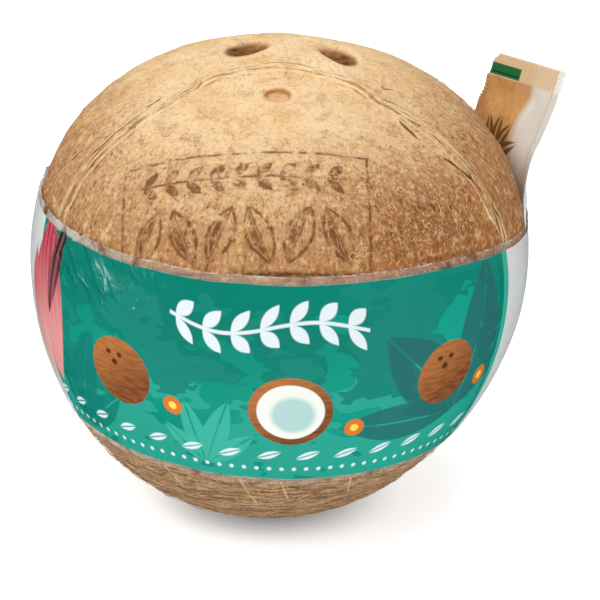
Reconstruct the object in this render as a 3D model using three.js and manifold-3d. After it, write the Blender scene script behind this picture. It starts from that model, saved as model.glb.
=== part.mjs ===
// A drinking coconut: a sanded nut, a film sleeve shrunk round its middle, and a straw in a sealed
// wrapper that the sleeve holds against the nut.
// Millimetres, +Z up, front towards -Y. The origin is the centre of the flat spot that the nut rests on.
import * as THREE from "three";
import { mergeVertices } from "three/addons/utils/BufferGeometryUtils.js";
import Module from "manifold-3d";

const { degToRad, smoothstep, clamp, lerp } = THREE.MathUtils;

// Nut: an egg of revolution about a leaning axis, with three soft lobes, and one side fuller and higher
const NUT_RADIUS = 58.15;
const NUT_CENTRE = new THREE.Vector3(1.3, -0.7, 57.2);
const NUT_AXIS = new THREE.Vector3(4, -8.8, 54).normalize();
const NUT_WAIST = -0.0207;
const NUT_EGG = -0.0278;
const NUT_BLUNT = -0.0128;
const NUT_LOBE = -0.015;
const NUT_LOBE_TURN = degToRad(30);
const NUT_BELLY = 1.6;
const NUT_LEAN = 0.8;

// Nut surface grid: rows are close together round the eyes, columns are close together at the ridges
const NUT_COLUMNS_PER_LOBE = 22;
const NUT_COLUMN_CROWDING = 0.7;
const NUT_ROWS = 48;
const NUT_ROW_SHARES = [0, 0.42, 0.66, 1];
const NUT_ROW_ANGLES = [0, 30, 66, 180].map((angle) => degToRad(angle));

// Ridges where the three lobes of the shell meet
const RIDGE_AZIMUTHS = [-22, 88, 202].map((angle) => degToRad(angle));
const RIDGE_HEIGHT = 0.8;
const RIDGE_HALF_WIDTH = 2.2;
const RIDGE_START = degToRad(8);
const RIDGE_FULL = degToRad(26);
const RIDGE_FADE = degToRad(55);
const RIDGE_LOW = degToRad(70);
const RIDGE_LOW_SHARE = 0.15;

// Eyes: a shallow closed one in front and two long deep ones behind it, on a map of the nut's top with the
// nut's axis at its centre. Each has its own long axis, turned on that map
const EYE_STEEPNESS = 1.5;
const EYES = [
  { polar: 11.6, azimuth: 260, turn: 0, halfLength: 3.3, halfWidth: 2.9, depth: 0.9 },
  { polar: 19.1, azimuth: 121.5, turn: 65, halfLength: 7.8, halfWidth: 4.7, depth: 2.6 },
  { polar: 18.8, azimuth: 47.6, turn: 109, halfLength: 8.0, halfWidth: 3.7, depth: 2.6 },
];

// Sleeve: edge heights are measured from the nut's centre. The band hangs lower towards +X, and its upper
// edge dips where the wrapper pulls on it
const SLEEVE_TOP = 22.4;
const SLEEVE_BOTTOM = -31.4;
const SLEEVE_TOP_SLOPE = -0.015;
const SLEEVE_BOTTOM_SLOPE = -0.05;
const SLEEVE_DIP = 7;
const SLEEVE_DIP_AZIMUTH = degToRad(10);
const SLEEVE_DIP_SPREAD = degToRad(45);
const SLEEVE_THICKNESS = 0.6;
const SLEEVE_GAP = 0.7;
const SLEEVE_COLUMNS = 96;
const SLEEVE_ROWS = 9;
const SLEEVE_BRIDGE = 3.2;
const SLEEVE_COVER_COLUMNS = 40;
const SLEEVE_COVER_ROWS = 80;

// Wrapper: it follows the nut under the sleeve, then bends out and stands clear of the nut
const WRAPPER_AZIMUTH = degToRad(23.9);
const WRAPPER_LOW_LATITUDE = degToRad(-23);
const WRAPPER_FULL_LATITUDE = degToRad(-7);
const WRAPPER_HIGH_LATITUDE = degToRad(16.9);
const WRAPPER_BEND_RADIUS = 16.5;
const WRAPPER_LEAN = degToRad(22.2);
const WRAPPER_SIDE_LEAN = degToRad(7.4);
const WRAPPER_TWIST = degToRad(10.3);
const WRAPPER_TWIST_START = 0.36;
const WRAPPER_UPPER_LENGTH = 15;
const WRAPPER_WIDTH = 27;
const WRAPPER_CLING_END = 0.45;
const WRAPPER_FREE_START = 0.8;
const WRAPPER_SIDE_SEAL = 2.5;
const WRAPPER_END_SEAL = 8;
const WRAPPER_END_TAPER = 8;
const WRAPPER_WEB = 0.6;
const WRAPPER_SEAL_GAP = 0.3;
const WRAPPER_PUFF = 2.6;
const WRAPPER_NUT_GAP = 0.5;
const WRAPPER_SLEEVE_GAP = 0.8;
const WRAPPER_COLUMNS = 10;
const WRAPPER_ROWS = 24;
const WRAPPER_LINE_STEPS = 9;
const WRAPPER_BEND_STEPS = 3;

// Straw: bent double inside the wrapper, with one leg shorter than the other
const STRAW_RADIUS = 2;
const STRAW_WALL = 0.5;
const STRAW_LEG_OFFSET = 4.4;
const STRAW_FOLD_AT = 20;
const STRAW_LONG_LEG_END = 53;
const STRAW_SHORT_LEG_END = 44;
const STRAW_SIDES_PER_HALF = 5;
const STRAW_STEPS = 34;
const STRAW_LEG_STEPS = 8;
const STRAW_FOLD_STEPS = 5;

// How close two vertices are when they are joined, and how often a height is solved for
const SEAM_TOLERANCE = 1e-3;
const SOLVE_PASSES = 10;

const UP = new THREE.Vector3(0, 0, 1);
const NUT_TILT = new THREE.Quaternion().setFromUnitVectors(UP, NUT_AXIS);
const NUT_UNTILT = NUT_TILT.clone().invert();

// Direction at an azimuth about the vertical and a latitude above the level
function directionAt(azimuth, latitude) {
  const level = Math.cos(latitude);
  return new THREE.Vector3(level * Math.cos(azimuth), level * Math.sin(azimuth), Math.sin(latitude));
}

// Angle brought into the half turn either side of zero
function wrapAngle(angle) {
  return Math.atan2(Math.sin(angle), Math.cos(angle));
}

// Straight interpolation along a list of knots
function interpolate(value, knots, results) {
  const last = knots.length - 2;
  const found = knots.findIndex((knot, index) => index > 0 && value <= knot);
  const index = found < 0 ? last : found - 1;
  return lerp(results[index], results[index + 1], (value - knots[index]) / (knots[index + 1] - knots[index]));
}

// Distance from the nut's centre to its smooth form, by angle from the nut's axis and azimuth about it
function nutForm(polar, azimuth) {
  const belly = Math.sin(polar);
  const profile =
    1 + NUT_WAIST * Math.cos(2 * polar) + NUT_EGG * Math.cos(3 * polar) + NUT_BLUNT * Math.cos(4 * polar);
  const lobes = 1 + NUT_LOBE * belly ** 2 * Math.cos(3 * (azimuth + NUT_LOBE_TURN));
  const fuller = NUT_BELLY * belly ** 3 + NUT_LEAN * Math.sin(2 * polar);
  return NUT_RADIUS * profile * lobes + fuller * Math.cos(azimuth);
}

// The same distance along a direction in the object's frame
function nutFormAlong(direction) {
  const local = direction.clone().applyQuaternion(NUT_UNTILT);
  return nutForm(Math.acos(clamp(local.z, -1, 1)), Math.atan2(local.y, local.x));
}

// Place on the flat map of the nut's top
function topMap(polar, azimuth) {
  return new THREE.Vector2(Math.cos(azimuth), Math.sin(azimuth)).multiplyScalar(NUT_RADIUS * polar);
}

// Height of the ridges and depth of the eyes at a place on the nut
function nutRelief(polar, azimuth) {
  const rise = smoothstep(polar, RIDGE_START, RIDGE_FULL);
  const fall = lerp(1, RIDGE_LOW_SHARE, smoothstep(polar, RIDGE_FADE, RIDGE_LOW));
  let relief = 0;
  for (const ridge of RIDGE_AZIMUTHS) {
    const across = NUT_RADIUS * Math.sin(polar) * wrapAngle(azimuth - ridge);
    relief += RIDGE_HEIGHT * rise * fall * Math.exp(-((across / RIDGE_HALF_WIDTH) ** 2));
  }
  for (const eye of EYES) {
    const offset = topMap(polar, azimuth).sub(topMap(degToRad(eye.polar), degToRad(eye.azimuth)));
    offset.rotateAround(new THREE.Vector2(), -degToRad(eye.turn));
    const spread = (offset.x / eye.halfLength) ** 2 + (offset.y / eye.halfWidth) ** 2;
    relief -= eye.depth * Math.exp(-(spread ** EYE_STEEPNESS));
  }
  return relief;
}

// Azimuth of a column: each lobe has the same number, crowded towards its two ridges
function columnAzimuth(share) {
  const lobes = RIDGE_AZIMUTHS.length;
  const lobe = Math.min(Math.floor(share * lobes), lobes - 1);
  const within = share * lobes - lobe;
  const eased = within - (NUT_COLUMN_CROWDING * Math.sin(2 * Math.PI * within)) / (2 * Math.PI);
  const start = RIDGE_AZIMUTHS[lobe];
  const end = lobe + 1 < lobes ? RIDGE_AZIMUTHS[lobe + 1] : RIDGE_AZIMUTHS[0] + 2 * Math.PI;
  return lerp(start, end, eased);
}

// Moves every vertex of a geometry to the point that a function returns, and joins its seams
function reshape(geometry, pointFor) {
  const position = geometry.getAttribute("position");
  const uv = geometry.getAttribute("uv");
  const from = new THREE.Vector3();
  for (let index = 0; index < position.count; index += 1) {
    from.fromBufferAttribute(position, index);
    const to = pointFor(from, uv.getX(index), uv.getY(index));
    position.setXYZ(index, to.x, to.y, to.z);
  }
  return joinSeams(geometry);
}

function joinSeams(geometry) {
  geometry.deleteAttribute("normal");
  geometry.deleteAttribute("uv");
  return mergeVertices(geometry, SEAM_TOLERANCE);
}

function nutGeometry() {
  const columns = NUT_COLUMNS_PER_LOBE * RIDGE_AZIMUTHS.length;
  const sphere = new THREE.SphereGeometry(1, columns, NUT_ROWS);
  return reshape(sphere, (from, u, v) => {
    const polar = interpolate(1 - v, NUT_ROW_SHARES, NUT_ROW_ANGLES);
    const azimuth = columnAzimuth(u);
    const reach = nutForm(polar, azimuth) + nutRelief(polar, azimuth);
    const point = directionAt(azimuth, Math.PI / 2 - polar).multiplyScalar(reach);
    return point.applyQuaternion(NUT_TILT).add(NUT_CENTRE);
  });
}

// Horizontal distance from the nut's upright centre line to its form, at a height above its centre
function nutRadiusAt(azimuth, height) {
  let latitude = 0;
  let reach = NUT_RADIUS;
  for (let pass = 0; pass < SOLVE_PASSES; pass += 1) {
    reach = nutFormAlong(directionAt(azimuth, latitude));
    latitude = Math.asin(clamp(height / reach, -1, 1));
  }
  return { radius: reach * Math.cos(latitude), slant: Math.cos(latitude) };
}

// Centre line of the wrapper, from its lower end to its upper end
function wrapperCentreLine() {
  const outward = directionAt(WRAPPER_AZIMUTH, 0);
  const along = new THREE.Vector3(-outward.y, outward.x, 0);
  const points = [];
  const onNut = (latitude, standoff) => {
    const direction = directionAt(WRAPPER_AZIMUTH, latitude);
    return direction.multiplyScalar(nutFormAlong(direction) + standoff);
  };
  const flat = WRAPPER_NUT_GAP + WRAPPER_SEAL_GAP / 2 + WRAPPER_WEB;
  for (let step = 0; step <= WRAPPER_LINE_STEPS; step += 1) {
    const latitude = lerp(WRAPPER_LOW_LATITUDE, WRAPPER_HIGH_LATITUDE, step / WRAPPER_LINE_STEPS);
    const fullness = smoothstep(latitude, WRAPPER_LOW_LATITUDE, WRAPPER_FULL_LATITUDE);
    points.push(onNut(latitude, flat + WRAPPER_PUFF * fullness));
  }
  const bendCentre = onNut(WRAPPER_HIGH_LATITUDE, flat + WRAPPER_PUFF + WRAPPER_BEND_RADIUS);
  for (let step = 1; step <= WRAPPER_BEND_STEPS; step += 1) {
    const lean = lerp(-WRAPPER_HIGH_LATITUDE, WRAPPER_LEAN, step / WRAPPER_BEND_STEPS);
    const inward = outward.clone().multiplyScalar(-Math.cos(lean)).addScaledVector(UP, Math.sin(lean));
    points.push(bendCentre.clone().addScaledVector(inward, WRAPPER_BEND_RADIUS));
  }
  const rise = outward.clone().multiplyScalar(Math.sin(WRAPPER_LEAN));
  rise.addScaledVector(UP, Math.cos(WRAPPER_LEAN));
  rise.multiplyScalar(Math.cos(WRAPPER_SIDE_LEAN)).addScaledVector(along, Math.sin(WRAPPER_SIDE_LEAN));
  const foot = points[points.length - 1];
  points.push(foot.clone().addScaledVector(rise, WRAPPER_UPPER_LENGTH / 2));
  points.push(foot.clone().addScaledVector(rise, WRAPPER_UPPER_LENGTH));
  return new THREE.CatmullRomCurve3(points);
}

const wrapperLine = wrapperCentreLine();
const wrapperLength = wrapperLine.getLength();

// Place on the wrapper's centre line, with the directions across its width and out of its outer face
function wrapperFrame(share) {
  const centre = wrapperLine.getPointAt(share);
  const tangent = wrapperLine.getTangentAt(share);
  const across = new THREE.Vector3(-Math.sin(WRAPPER_AZIMUTH), Math.cos(WRAPPER_AZIMUTH), 0);
  across.addScaledVector(tangent, -across.dot(tangent)).normalize();
  across.applyAxisAngle(tangent, WRAPPER_TWIST * smoothstep(share, WRAPPER_TWIST_START, 1));
  return { centre, across, out: new THREE.Vector3().crossVectors(across, tangent) };
}

// How far each web stands off the wrapper's middle surface
function wrapperPuff(share, offset) {
  const toEnd = Math.min(share, 1 - share) * wrapperLength;
  const ends = smoothstep(toEnd, WRAPPER_END_SEAL, WRAPPER_END_SEAL + WRAPPER_END_TAPER);
  const side = clamp(Math.abs(offset) / (WRAPPER_WIDTH / 2 - WRAPPER_SIDE_SEAL), 0, 1);
  return WRAPPER_PUFF * ends * (1 - side ** 3);
}

// Under the film the wrapper's edges are pressed down, so that its inner web lies on the round nut
function wrapperSag(share, offset) {
  const cling = 1 - smoothstep(share, WRAPPER_CLING_END, WRAPPER_FREE_START);
  const roundness = offset ** 2 / (2 * NUT_RADIUS);
  return cling * (roundness + wrapperPuff(share, 0) - wrapperPuff(share, offset));
}

function wrapperPoint(share, offset, standoff) {
  const { centre, across, out } = wrapperFrame(share);
  const lift = standoff - wrapperSag(share, offset);
  return centre.addScaledVector(across, offset).addScaledVector(out, lift);
}

// One web of the wrapper: side is 1 for the outer web and -1 for the web on the nut's side
function webGeometry(side) {
  const slab = new THREE.BoxGeometry(1, 1, 1, WRAPPER_COLUMNS, WRAPPER_ROWS, 1);
  return reshape(slab, (from) => {
    const share = from.y + 0.5;
    const offset = from.x * WRAPPER_WIDTH;
    const layer = side > 0 ? from.z + 0.5 : 0.5 - from.z;
    const standoff = WRAPPER_SEAL_GAP / 2 + wrapperPuff(share, offset) + layer * WRAPPER_WEB;
    return wrapperPoint(share, offset, side * standoff).add(NUT_CENTRE);
  });
}

// Lines of points up the wrapper's outer face, a film gap clear of it, for the film to be stretched over
function wrapperCoverLines() {
  const lines = [];
  for (let column = 0; column <= SLEEVE_COVER_COLUMNS; column += 1) {
    const offset = (column / SLEEVE_COVER_COLUMNS - 0.5) * WRAPPER_WIDTH;
    const line = [];
    for (let row = 0; row <= SLEEVE_COVER_ROWS; row += 1) {
      const share = row / SLEEVE_COVER_ROWS;
      const cover = WRAPPER_SEAL_GAP / 2 + wrapperPuff(share, offset) + WRAPPER_WEB + WRAPPER_SLEEVE_GAP;
      line.push(wrapperPoint(share, offset, cover));
    }
    lines.push(line);
  }
  return lines;
}

const coverLines = wrapperCoverLines();

// The furthest of each line's points near a height above the nut's centre, since taut film bridges the
// hollows between them; below the wrapper its lower end fades out
function wrapperOutline(height) {
  return coverLines.map((line) => {
    const level = Math.max(height, line[0].z);
    const near = line.filter((point) => Math.abs(point.z - level) <= SLEEVE_BRIDGE);
    const radius = Math.max(...near.map((point) => Math.hypot(point.x, point.y)));
    const fade = clamp(1 - (level - height) / WRAPPER_END_TAPER, 0, 1);
    return { azimuth: Math.atan2(near[0].y, near[0].x), radius, fade };
  });
}

// Inner radius of the film at a height: on the nut, or on the straight line from the nut to the wrapper
function filmRadius(azimuth, height, outline) {
  const { radius, slant } = nutRadiusAt(azimuth, height);
  const onNut = radius + SLEEVE_GAP / slant;
  let reach = onNut;
  for (const point of outline) {
    const held = lerp(onNut, point.radius, point.fade);
    const spread = Math.acos(clamp(onNut / held, -1, 1));
    const turn = Math.abs(wrapAngle(azimuth - point.azimuth));
    if (held > onNut && turn < spread) {
      reach = Math.max(reach, onNut / Math.cos(spread - turn));
    }
  }
  return { reach, slant };
}

// Heights of the film's two edges above the nut's centre
function sleeveTop(azimuth) {
  const fromDip = wrapAngle(azimuth - SLEEVE_DIP_AZIMUTH) / SLEEVE_DIP_SPREAD;
  const slope = SLEEVE_TOP_SLOPE * NUT_RADIUS * Math.cos(azimuth);
  return SLEEVE_TOP + slope - SLEEVE_DIP * Math.exp(-(fromDip ** 2));
}

function sleeveBottom(azimuth) {
  return SLEEVE_BOTTOM + SLEEVE_BOTTOM_SLOPE * NUT_RADIUS * Math.cos(azimuth);
}

function sleeveGeometry() {
  const profile = [];
  for (let row = 0; row <= SLEEVE_ROWS; row += 1) {
    profile.push(new THREE.Vector2(2, row / SLEEVE_ROWS));
  }
  for (let row = SLEEVE_ROWS; row >= 0; row -= 1) {
    profile.push(new THREE.Vector2(1, row / SLEEVE_ROWS));
  }
  profile.push(profile[0].clone());
  const ring = new THREE.LatheGeometry(profile, SLEEVE_COLUMNS).rotateX(Math.PI / 2);
  return reshape(ring, (from) => {
    const azimuth = Math.atan2(from.y, from.x);
    const layer = Math.hypot(from.x, from.y) - 1;
    const height = lerp(sleeveBottom(azimuth), sleeveTop(azimuth), from.z);
    const { reach, slant } = filmRadius(azimuth, height, wrapperOutline(height));
    const radius = reach + (layer * SLEEVE_THICKNESS) / slant;
    return new THREE.Vector3(radius * Math.cos(azimuth), radius * Math.sin(azimuth), height).add(NUT_CENTRE);
  });
}

function strawGeometry() {
  const points = [];
  const addPoint = (along, offset) => {
    points.push(wrapperPoint(along / wrapperLength, offset, 0).add(NUT_CENTRE));
  };
  const addLeg = (offset, from, to) => {
    for (let step = 0; step <= STRAW_LEG_STEPS; step += 1) {
      addPoint(lerp(from, to, step / STRAW_LEG_STEPS), offset);
    }
  };
  addLeg(STRAW_LEG_OFFSET, STRAW_LONG_LEG_END, STRAW_FOLD_AT);
  for (let step = 1; step < STRAW_FOLD_STEPS; step += 1) {
    const turn = (Math.PI * step) / STRAW_FOLD_STEPS;
    addPoint(STRAW_FOLD_AT - STRAW_LEG_OFFSET * Math.sin(turn), STRAW_LEG_OFFSET * Math.cos(turn));
  }
  addLeg(-STRAW_LEG_OFFSET, STRAW_FOLD_AT, STRAW_SHORT_LEG_END);
  const section = new THREE.Shape().absarc(0, 0, STRAW_RADIUS, 0, 2 * Math.PI);
  section.holes.push(new THREE.Path().absarc(0, 0, STRAW_RADIUS - STRAW_WALL, 0, 2 * Math.PI));
  const tube = new THREE.ExtrudeGeometry(section, {
    steps: STRAW_STEPS,
    curveSegments: STRAW_SIDES_PER_HALF,
    bevelEnabled: false,
    extrudePath: new THREE.CatmullRomCurve3(points),
  });
  return joinSeams(tube);
}

const wasm = await Module();
wasm.setup();

function solidOf(geometry) {
  const vertProperties = Float32Array.from(geometry.getAttribute("position").array);
  const triVerts = Uint32Array.from(geometry.getIndex().array);
  return new wasm.Manifold(new wasm.Mesh({ numProp: 3, vertProperties, triVerts }));
}

function geometryOf(solid) {
  const mesh = solid.getMesh();
  const geometry = new THREE.BufferGeometry();
  geometry.setAttribute("position", new THREE.BufferAttribute(mesh.vertProperties, 3));
  geometry.setIndex(new THREE.BufferAttribute(mesh.triVerts, 1));
  return geometry;
}

// The nut's underside is cut level, which leaves the flat spot that it rests on
function restingNutGeometry() {
  const span = 4 * NUT_RADIUS;
  const aboveGround = new THREE.BoxGeometry(span, span, span).translate(0, 0, span / 2);
  return geometryOf(solidOf(nutGeometry()).intersect(solidOf(joinSeams(aboveGround))));
}

const object = new THREE.Group();

function addPart(name, geometry, color, roughness) {
  const material = new THREE.MeshStandardMaterial({ color, roughness, metalness: 0 });
  const mesh = new THREE.Mesh(geometry, material);
  mesh.name = name;
  object.add(mesh);
}

addPart("coconut", restingNutGeometry(), 0xc79f70, 0.75);
addPart("sleeve", sleeveGeometry(), 0x169580, 0.2);
addPart("wrapper_front", webGeometry(-1), 0xcda067, 0.55);
addPart("wrapper_back", webGeometry(1), 0xe2dcd0, 0.4);
addPart("straw", strawGeometry(), 0xe9e4d6, 0.6);

export default object;
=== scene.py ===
import functools
import itertools
import math

import bpy
import numpy as np
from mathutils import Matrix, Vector


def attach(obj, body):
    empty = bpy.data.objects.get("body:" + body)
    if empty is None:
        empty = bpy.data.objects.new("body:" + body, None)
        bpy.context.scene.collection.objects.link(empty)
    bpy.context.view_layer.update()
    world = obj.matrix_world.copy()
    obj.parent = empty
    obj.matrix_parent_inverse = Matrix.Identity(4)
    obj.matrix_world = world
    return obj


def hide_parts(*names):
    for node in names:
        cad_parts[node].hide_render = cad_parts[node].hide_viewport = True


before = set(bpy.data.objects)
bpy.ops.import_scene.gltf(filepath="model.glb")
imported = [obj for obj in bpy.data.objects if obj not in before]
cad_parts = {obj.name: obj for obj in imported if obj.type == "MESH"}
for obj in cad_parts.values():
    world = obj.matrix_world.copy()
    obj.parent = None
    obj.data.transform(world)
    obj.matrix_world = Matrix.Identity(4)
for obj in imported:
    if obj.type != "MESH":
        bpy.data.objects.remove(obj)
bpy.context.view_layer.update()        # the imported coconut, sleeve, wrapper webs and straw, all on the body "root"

# Sizes below are in millimetres and angles in radians, unless a name says otherwise
MM = 0.001
BODY = "root"
SEED = 11

# Nut form, the same as in the solids
NUT_RADIUS = 58.15
NUT_CENTRE = np.array([1.3, -0.7, 57.2])
NUT_AXIS = (4, -8.8, 54)
NUT_WAIST = -0.0207
NUT_EGG = -0.0278
NUT_BLUNT = -0.0128
NUT_LOBE = -0.015
NUT_LOBE_TURN = math.radians(30)
NUT_BELLY = 1.6
NUT_LEAN = 0.8
NUT_REACH = 60
LATITUDE_ROUNDS = 10

# Nut surface grid: rows are wide apart under the film, columns crowd at the ridges and in front
NUT_COLUMNS = 396
COLUMN_SAMPLES = 7201
NUT_ROW_ANGLES = [math.radians(angle) for angle in (0, 80, 110, 180)]
NUT_ROW_COUNTS = (162, 12, 76)
RIDGE_CROWDING = 3.0
RIDGE_CROWD_SPREAD = math.radians(4)
FRONT_CROWDING = 1.2
FRONT_AZIMUTH = math.radians(265)
FRONT_CROWD_SPREAD = math.radians(38)

# Ridges where the shell's three lobes meet: a low swell with raised cords and broken cracks along it
RIDGE_AZIMUTHS = [math.radians(angle) for angle in (-22, 88, 202)]
RIDGE_STARTS = [math.radians(angle) for angle in (3, 30, 3)]
RIDGE_RISE = math.radians(18)
# The two ridges at the front join as one arch, just behind the nut's axis
ARCH_SIDES = (1, 0, -1)
ARCH_TOP = 6.6
ARCH_MIDDLE = -1.0
ARCH_SLOPE = 0.63
ARCH_ROUND = 4.0
ARCH_END = (math.radians(20), math.radians(32))
RIDGE_HEIGHT = 0.7
RIDGE_HALF_WIDTH = 2.6
RIDGE_FADE = math.radians(66)
RIDGE_LOW = math.radians(80)
RIDGE_LOW_SHARE = 0.12
RIDGE_WANDER = 0.9
RIDGE_CORDS = (-2.0, -0.4, 1.2, 2.5)
RIDGE_CORD_HEIGHT = 0.34
RIDGE_CORD_HALF_WIDTH = 0.42
# Cracks: distance across the ridge, half width, and the level of noise up to which they are closed
RIDGE_LINES = ((-2.1, 0.09, 0.47), (-0.5, 0.13, 0.38), (0.8, 0.08, 0.46), (2.1, 0.1, 0.44))
RIDGE_REACH = 6
BACK_STRAND = 3

# Gashes beside the ridges: angle from the nut's axis, azimuth, half length, half width, lean. All but the
# lengths and widths are in degrees
GASHES = (
    (38.2, 202, 3.0, 0.45, 6), (54.8, 190, 4.4, 0.3, -7), (61, 200, 7.0, 0.4, -5), (32.9, 194, 3.2, 0.3, 15),
    (33.1, 332, 3.6, 0.5, -11), (47.1, 335.5, 7.0, 0.35, 19), (59, 339, 5.0, 0.4, 26),
    (24, 357, 1.8, 0.4, 20), (40, 86, 4.0, 0.45, 8), (54, 91, 5.5, 0.4, -9), (47, 110, 3.5, 0.3, 12),
)
GASH_DEPTH = 0.6

# Eyes: a shallow one in front, and two long funnels behind it with a hole near their outer ends. Lengths
# lie along each eye's own axis, which is turned on a map of the top with the nut's axis at its centre.
# Angles are in degrees
EYES = (
    {"polar": 11.6, "azimuth": 260, "turn": 0, "length": 3.3, "width": 2.9, "depth": 1.0, "edge": 2.4},
    {"polar": 19.1, "azimuth": 121.5, "turn": 65, "length": 8.2, "width": 5.0, "depth": 3.0, "edge": 2.0},
    {"polar": 18.8, "azimuth": 47.6, "turn": 109, "length": 8.4, "width": 3.9, "depth": 3.0, "edge": 2.0},
)
DEEP_EYE = 2
EYE_FLOOR_SLOPE = 0.2
EYE_HOLE_ALONG = -3.1
EYE_HOLE_HALF_LENGTH = 2.7
EYE_HOLE_HALF_WIDTH = 2.0
EYE_HOLE_DEPTH = 1.2
EYE_RIM_HEIGHT = 0.25

# Grain lines run down from the top, and are calm inside this angle from the nut's axis
GRAIN_FULL = math.radians(48)

# Saw marks below the film: degrees round from the front, and how far each runs down from the film's edge
SAW_MARKS = (
    (-30, 8), (-8, 10), (3, 7), (23, 6), (62, 9), (104, 7), (151, 10), (-76, 8), (-117, 9), (-160, 6),
)
SAW_SLANT = 0.28
SAW_HALF_WIDTH = 0.22
SAW_DEPTH = 0.35

# Burnt ornament on the front, in arc lengths right of and above the nut's centre
ORNAMENT_CENTRE = (-6.0, 36.0)
ORNAMENT_HALF = (28.0, 14.2)
ORNAMENT_LINE = 0.3
ORNAMENT_DEPTH = 0.22
ORNAMENT_LEAVES = 6
ORNAMENT_LEAF_PITCH = 8.4
ORNAMENT_LEAF = (14.0, 6.0)
ORNAMENT_LEAF_HEIGHT = 30.4
ORNAMENT_SPRIG_HEIGHT = 43.8
ORNAMENT_SPRIG_PITCH = 5.2
ORNAMENT_SPRIG_LEAF = (4.8, 2.2)
ORNAMENT_SPRIG_HALF = 23.4

# Film sleeve: edge heights are measured from the nut's centre
FILM_TOP = 22.4
FILM_BOTTOM = -31.4
FILM_TOP_SLOPE = -0.015
FILM_BOTTOM_SLOPE = -0.05
FILM_DIP = 7
FILM_DIP_AZIMUTH = math.radians(10)
FILM_DIP_SPREAD = math.radians(45)
FILM_GAP = 0.4
FILM_THICKNESS = 0.12
FILM_COLUMNS = 540
FILM_ROWS = 64
FILM_BRIDGE = 3.2
BRIDGE_SHARES = 161
BRIDGE_LEVELS = 481
BRIDGE_OFFSETS = 41
FILM_MARGIN_TOP = 1.6
FILM_MARGIN_BOTTOM = 1.4
PRINT_RADIUS = 59.5
PRINT_CELLS = 3

# Shade on the shell in places where the film stands off it
GAP_SHADES = [math.radians(angle) for angle in (-87, 60, 155)]
GAP_SHADE_SPREAD = 0.17
GAP_SHADE_RISE = 0.4
GAP_SHADE_HALF_WIDTH = 0.5

# Straw wrapper: its middle line is that of the solids, tucked in closer to the nut under the film
WRAPPER_AZIMUTH = math.radians(23.9)
WRAPPER_LOW_LATITUDE = math.radians(-23)
WRAPPER_FULL_LATITUDE = math.radians(-7)
WRAPPER_HIGH_LATITUDE = math.radians(16.9)
WRAPPER_BEND_RADIUS = 16.5
WRAPPER_LEAN = math.radians(22.2)
WRAPPER_SIDE_LEAN = math.radians(7.4)
WRAPPER_TWIST = math.radians(10.3)
WRAPPER_TWIST_START = 0.36
WRAPPER_UPPER_LENGTH = 15
WRAPPER_WIDTH = 27
WRAPPER_CLING_END = 0.45
WRAPPER_FREE_START = 0.8
WRAPPER_SIDE_SEAL = 2.5
WRAPPER_END_SEAL = 8
WRAPPER_END_TAPER = 8
WRAPPER_STANDOFF = 3.85
WRAPPER_FLAT_STANDOFF = 1.25
WRAPPER_TUCK = 1.35
WRAPPER_WEB = 0.14
WRAPPER_SEAL_GAP = 0.04
WRAPPER_PUFF = 2.3
WRAPPER_SLEEVE_GAP = 0.2
WRAPPER_COLUMNS = 60
WRAPPER_ROWS = 150
WRAPPER_LINE_STEPS = 9
CURVE_SAMPLES = 1600
LINE_SAMPLES = 801
WRAPPER_BEND_STEPS = 3
CRIMP_PITCH = 1.25
CRIMP_DEPTH = 0.2
EDGE_RIB_PITCH = 0.9
EDGE_RIB_DEPTH = 0.22
WRAPPER_PALE_SEAL = 5.4

# Straw: bent double inside the wrapper
STRAW_RADIUS = 2
STRAW_WALL = 0.5
STRAW_LEG_OFFSET = 4.4
STRAW_FOLD_AT = 20
STRAW_LONG_LEG_END = 53
STRAW_SHORT_LEG_END = 44
STRAW_SIDES = 24
STRAW_FOLD_STEPS = 12
STRAW_LEG_STEPS = 30

# Loose fibres: a thick tuft at the right of the front, and others all over the shell and below the film
TUFT_FIBRES = 280
TUFT_AZIMUTH = math.radians(-50)
TUFT_HEIGHT = 24
TUFT_SPREAD = (0.24, 7)
STRAY_FIBRES = 160
STRAY_HEIGHTS = (20, 46)
UNDER_FIBRES = 260
UNDER_START = 1.5
UNDER_DEPTH = 17
UNDER_LEAN = 0.22
# Ranges of their lengths and lifts, and how much they curl
TUFT_FORM = ((0.7, 2.3), (0.0, 0.3), 0.9)
STRAY_FORM = ((0.8, 3.0), (0.0, 0.2), 1.2)
UNDER_FORM = ((4, 12), (0.05, 0.4), 0.7)
FIBRE_RADIUS = 0.085
FIBRE_STEPS = 6
FIBRE_SIDES = 4
FIBRE_CLEAR = 0.15
FIBRE_LIMIT = 53
FIBRE_HEADINGS = 6.3

# Studio: a lit table that glows less near the nut as a painted shadow, and lamps with their places, sizes and watts
FLOOR_HALF = 4000
FLOOR_DROP = 0.2
FLOOR_GLOW = (0.02, 0.6)
FLOOR_GLOW_REACH = (4, 34)
FLOOR_SHADE_REACH = (10, 32)
WORLD_STRENGTH = 0.5
LAMPS = {
    "key": ((-420, -560, 760), (520, 420), 2.85),
    "top": ((-40, 40, 900), (800, 800), 5.0),
    "fill": ((700, -500, 300), (500, 500), 0.9),
    "glint": ((-760, -150, 200), (36, 150), 0.4),
    "spark": ((-160, -700, 620), (26, 100), 0.3),
}
SHINING_LAMPS = ("glint", "spark")

# Camera: it looks along +Y and down, and places the nut's centre left of and above the picture's centre
CAMERA_ELEVATION = math.radians(22)
CAMERA_DISTANCE = 700
CAMERA_REACH = 20000
CAMERA_LENS = 175
CAMERA_SENSOR = 36
CAMERA_RIGHT = 7.02
CAMERA_DOWN = 6.05

TILT = np.array(Vector((0, 0, 1)).rotation_difference(Vector(NUT_AXIS)).to_matrix())
rng = np.random.default_rng(SEED)


# Plain maths on arrays

def smoothstep(value, low, high):
    share = np.clip((value - low) / (high - low), 0, 1)
    return share * share * (3 - 2 * share)


def lerp(start, end, share):
    return start + (end - start) * share


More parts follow.
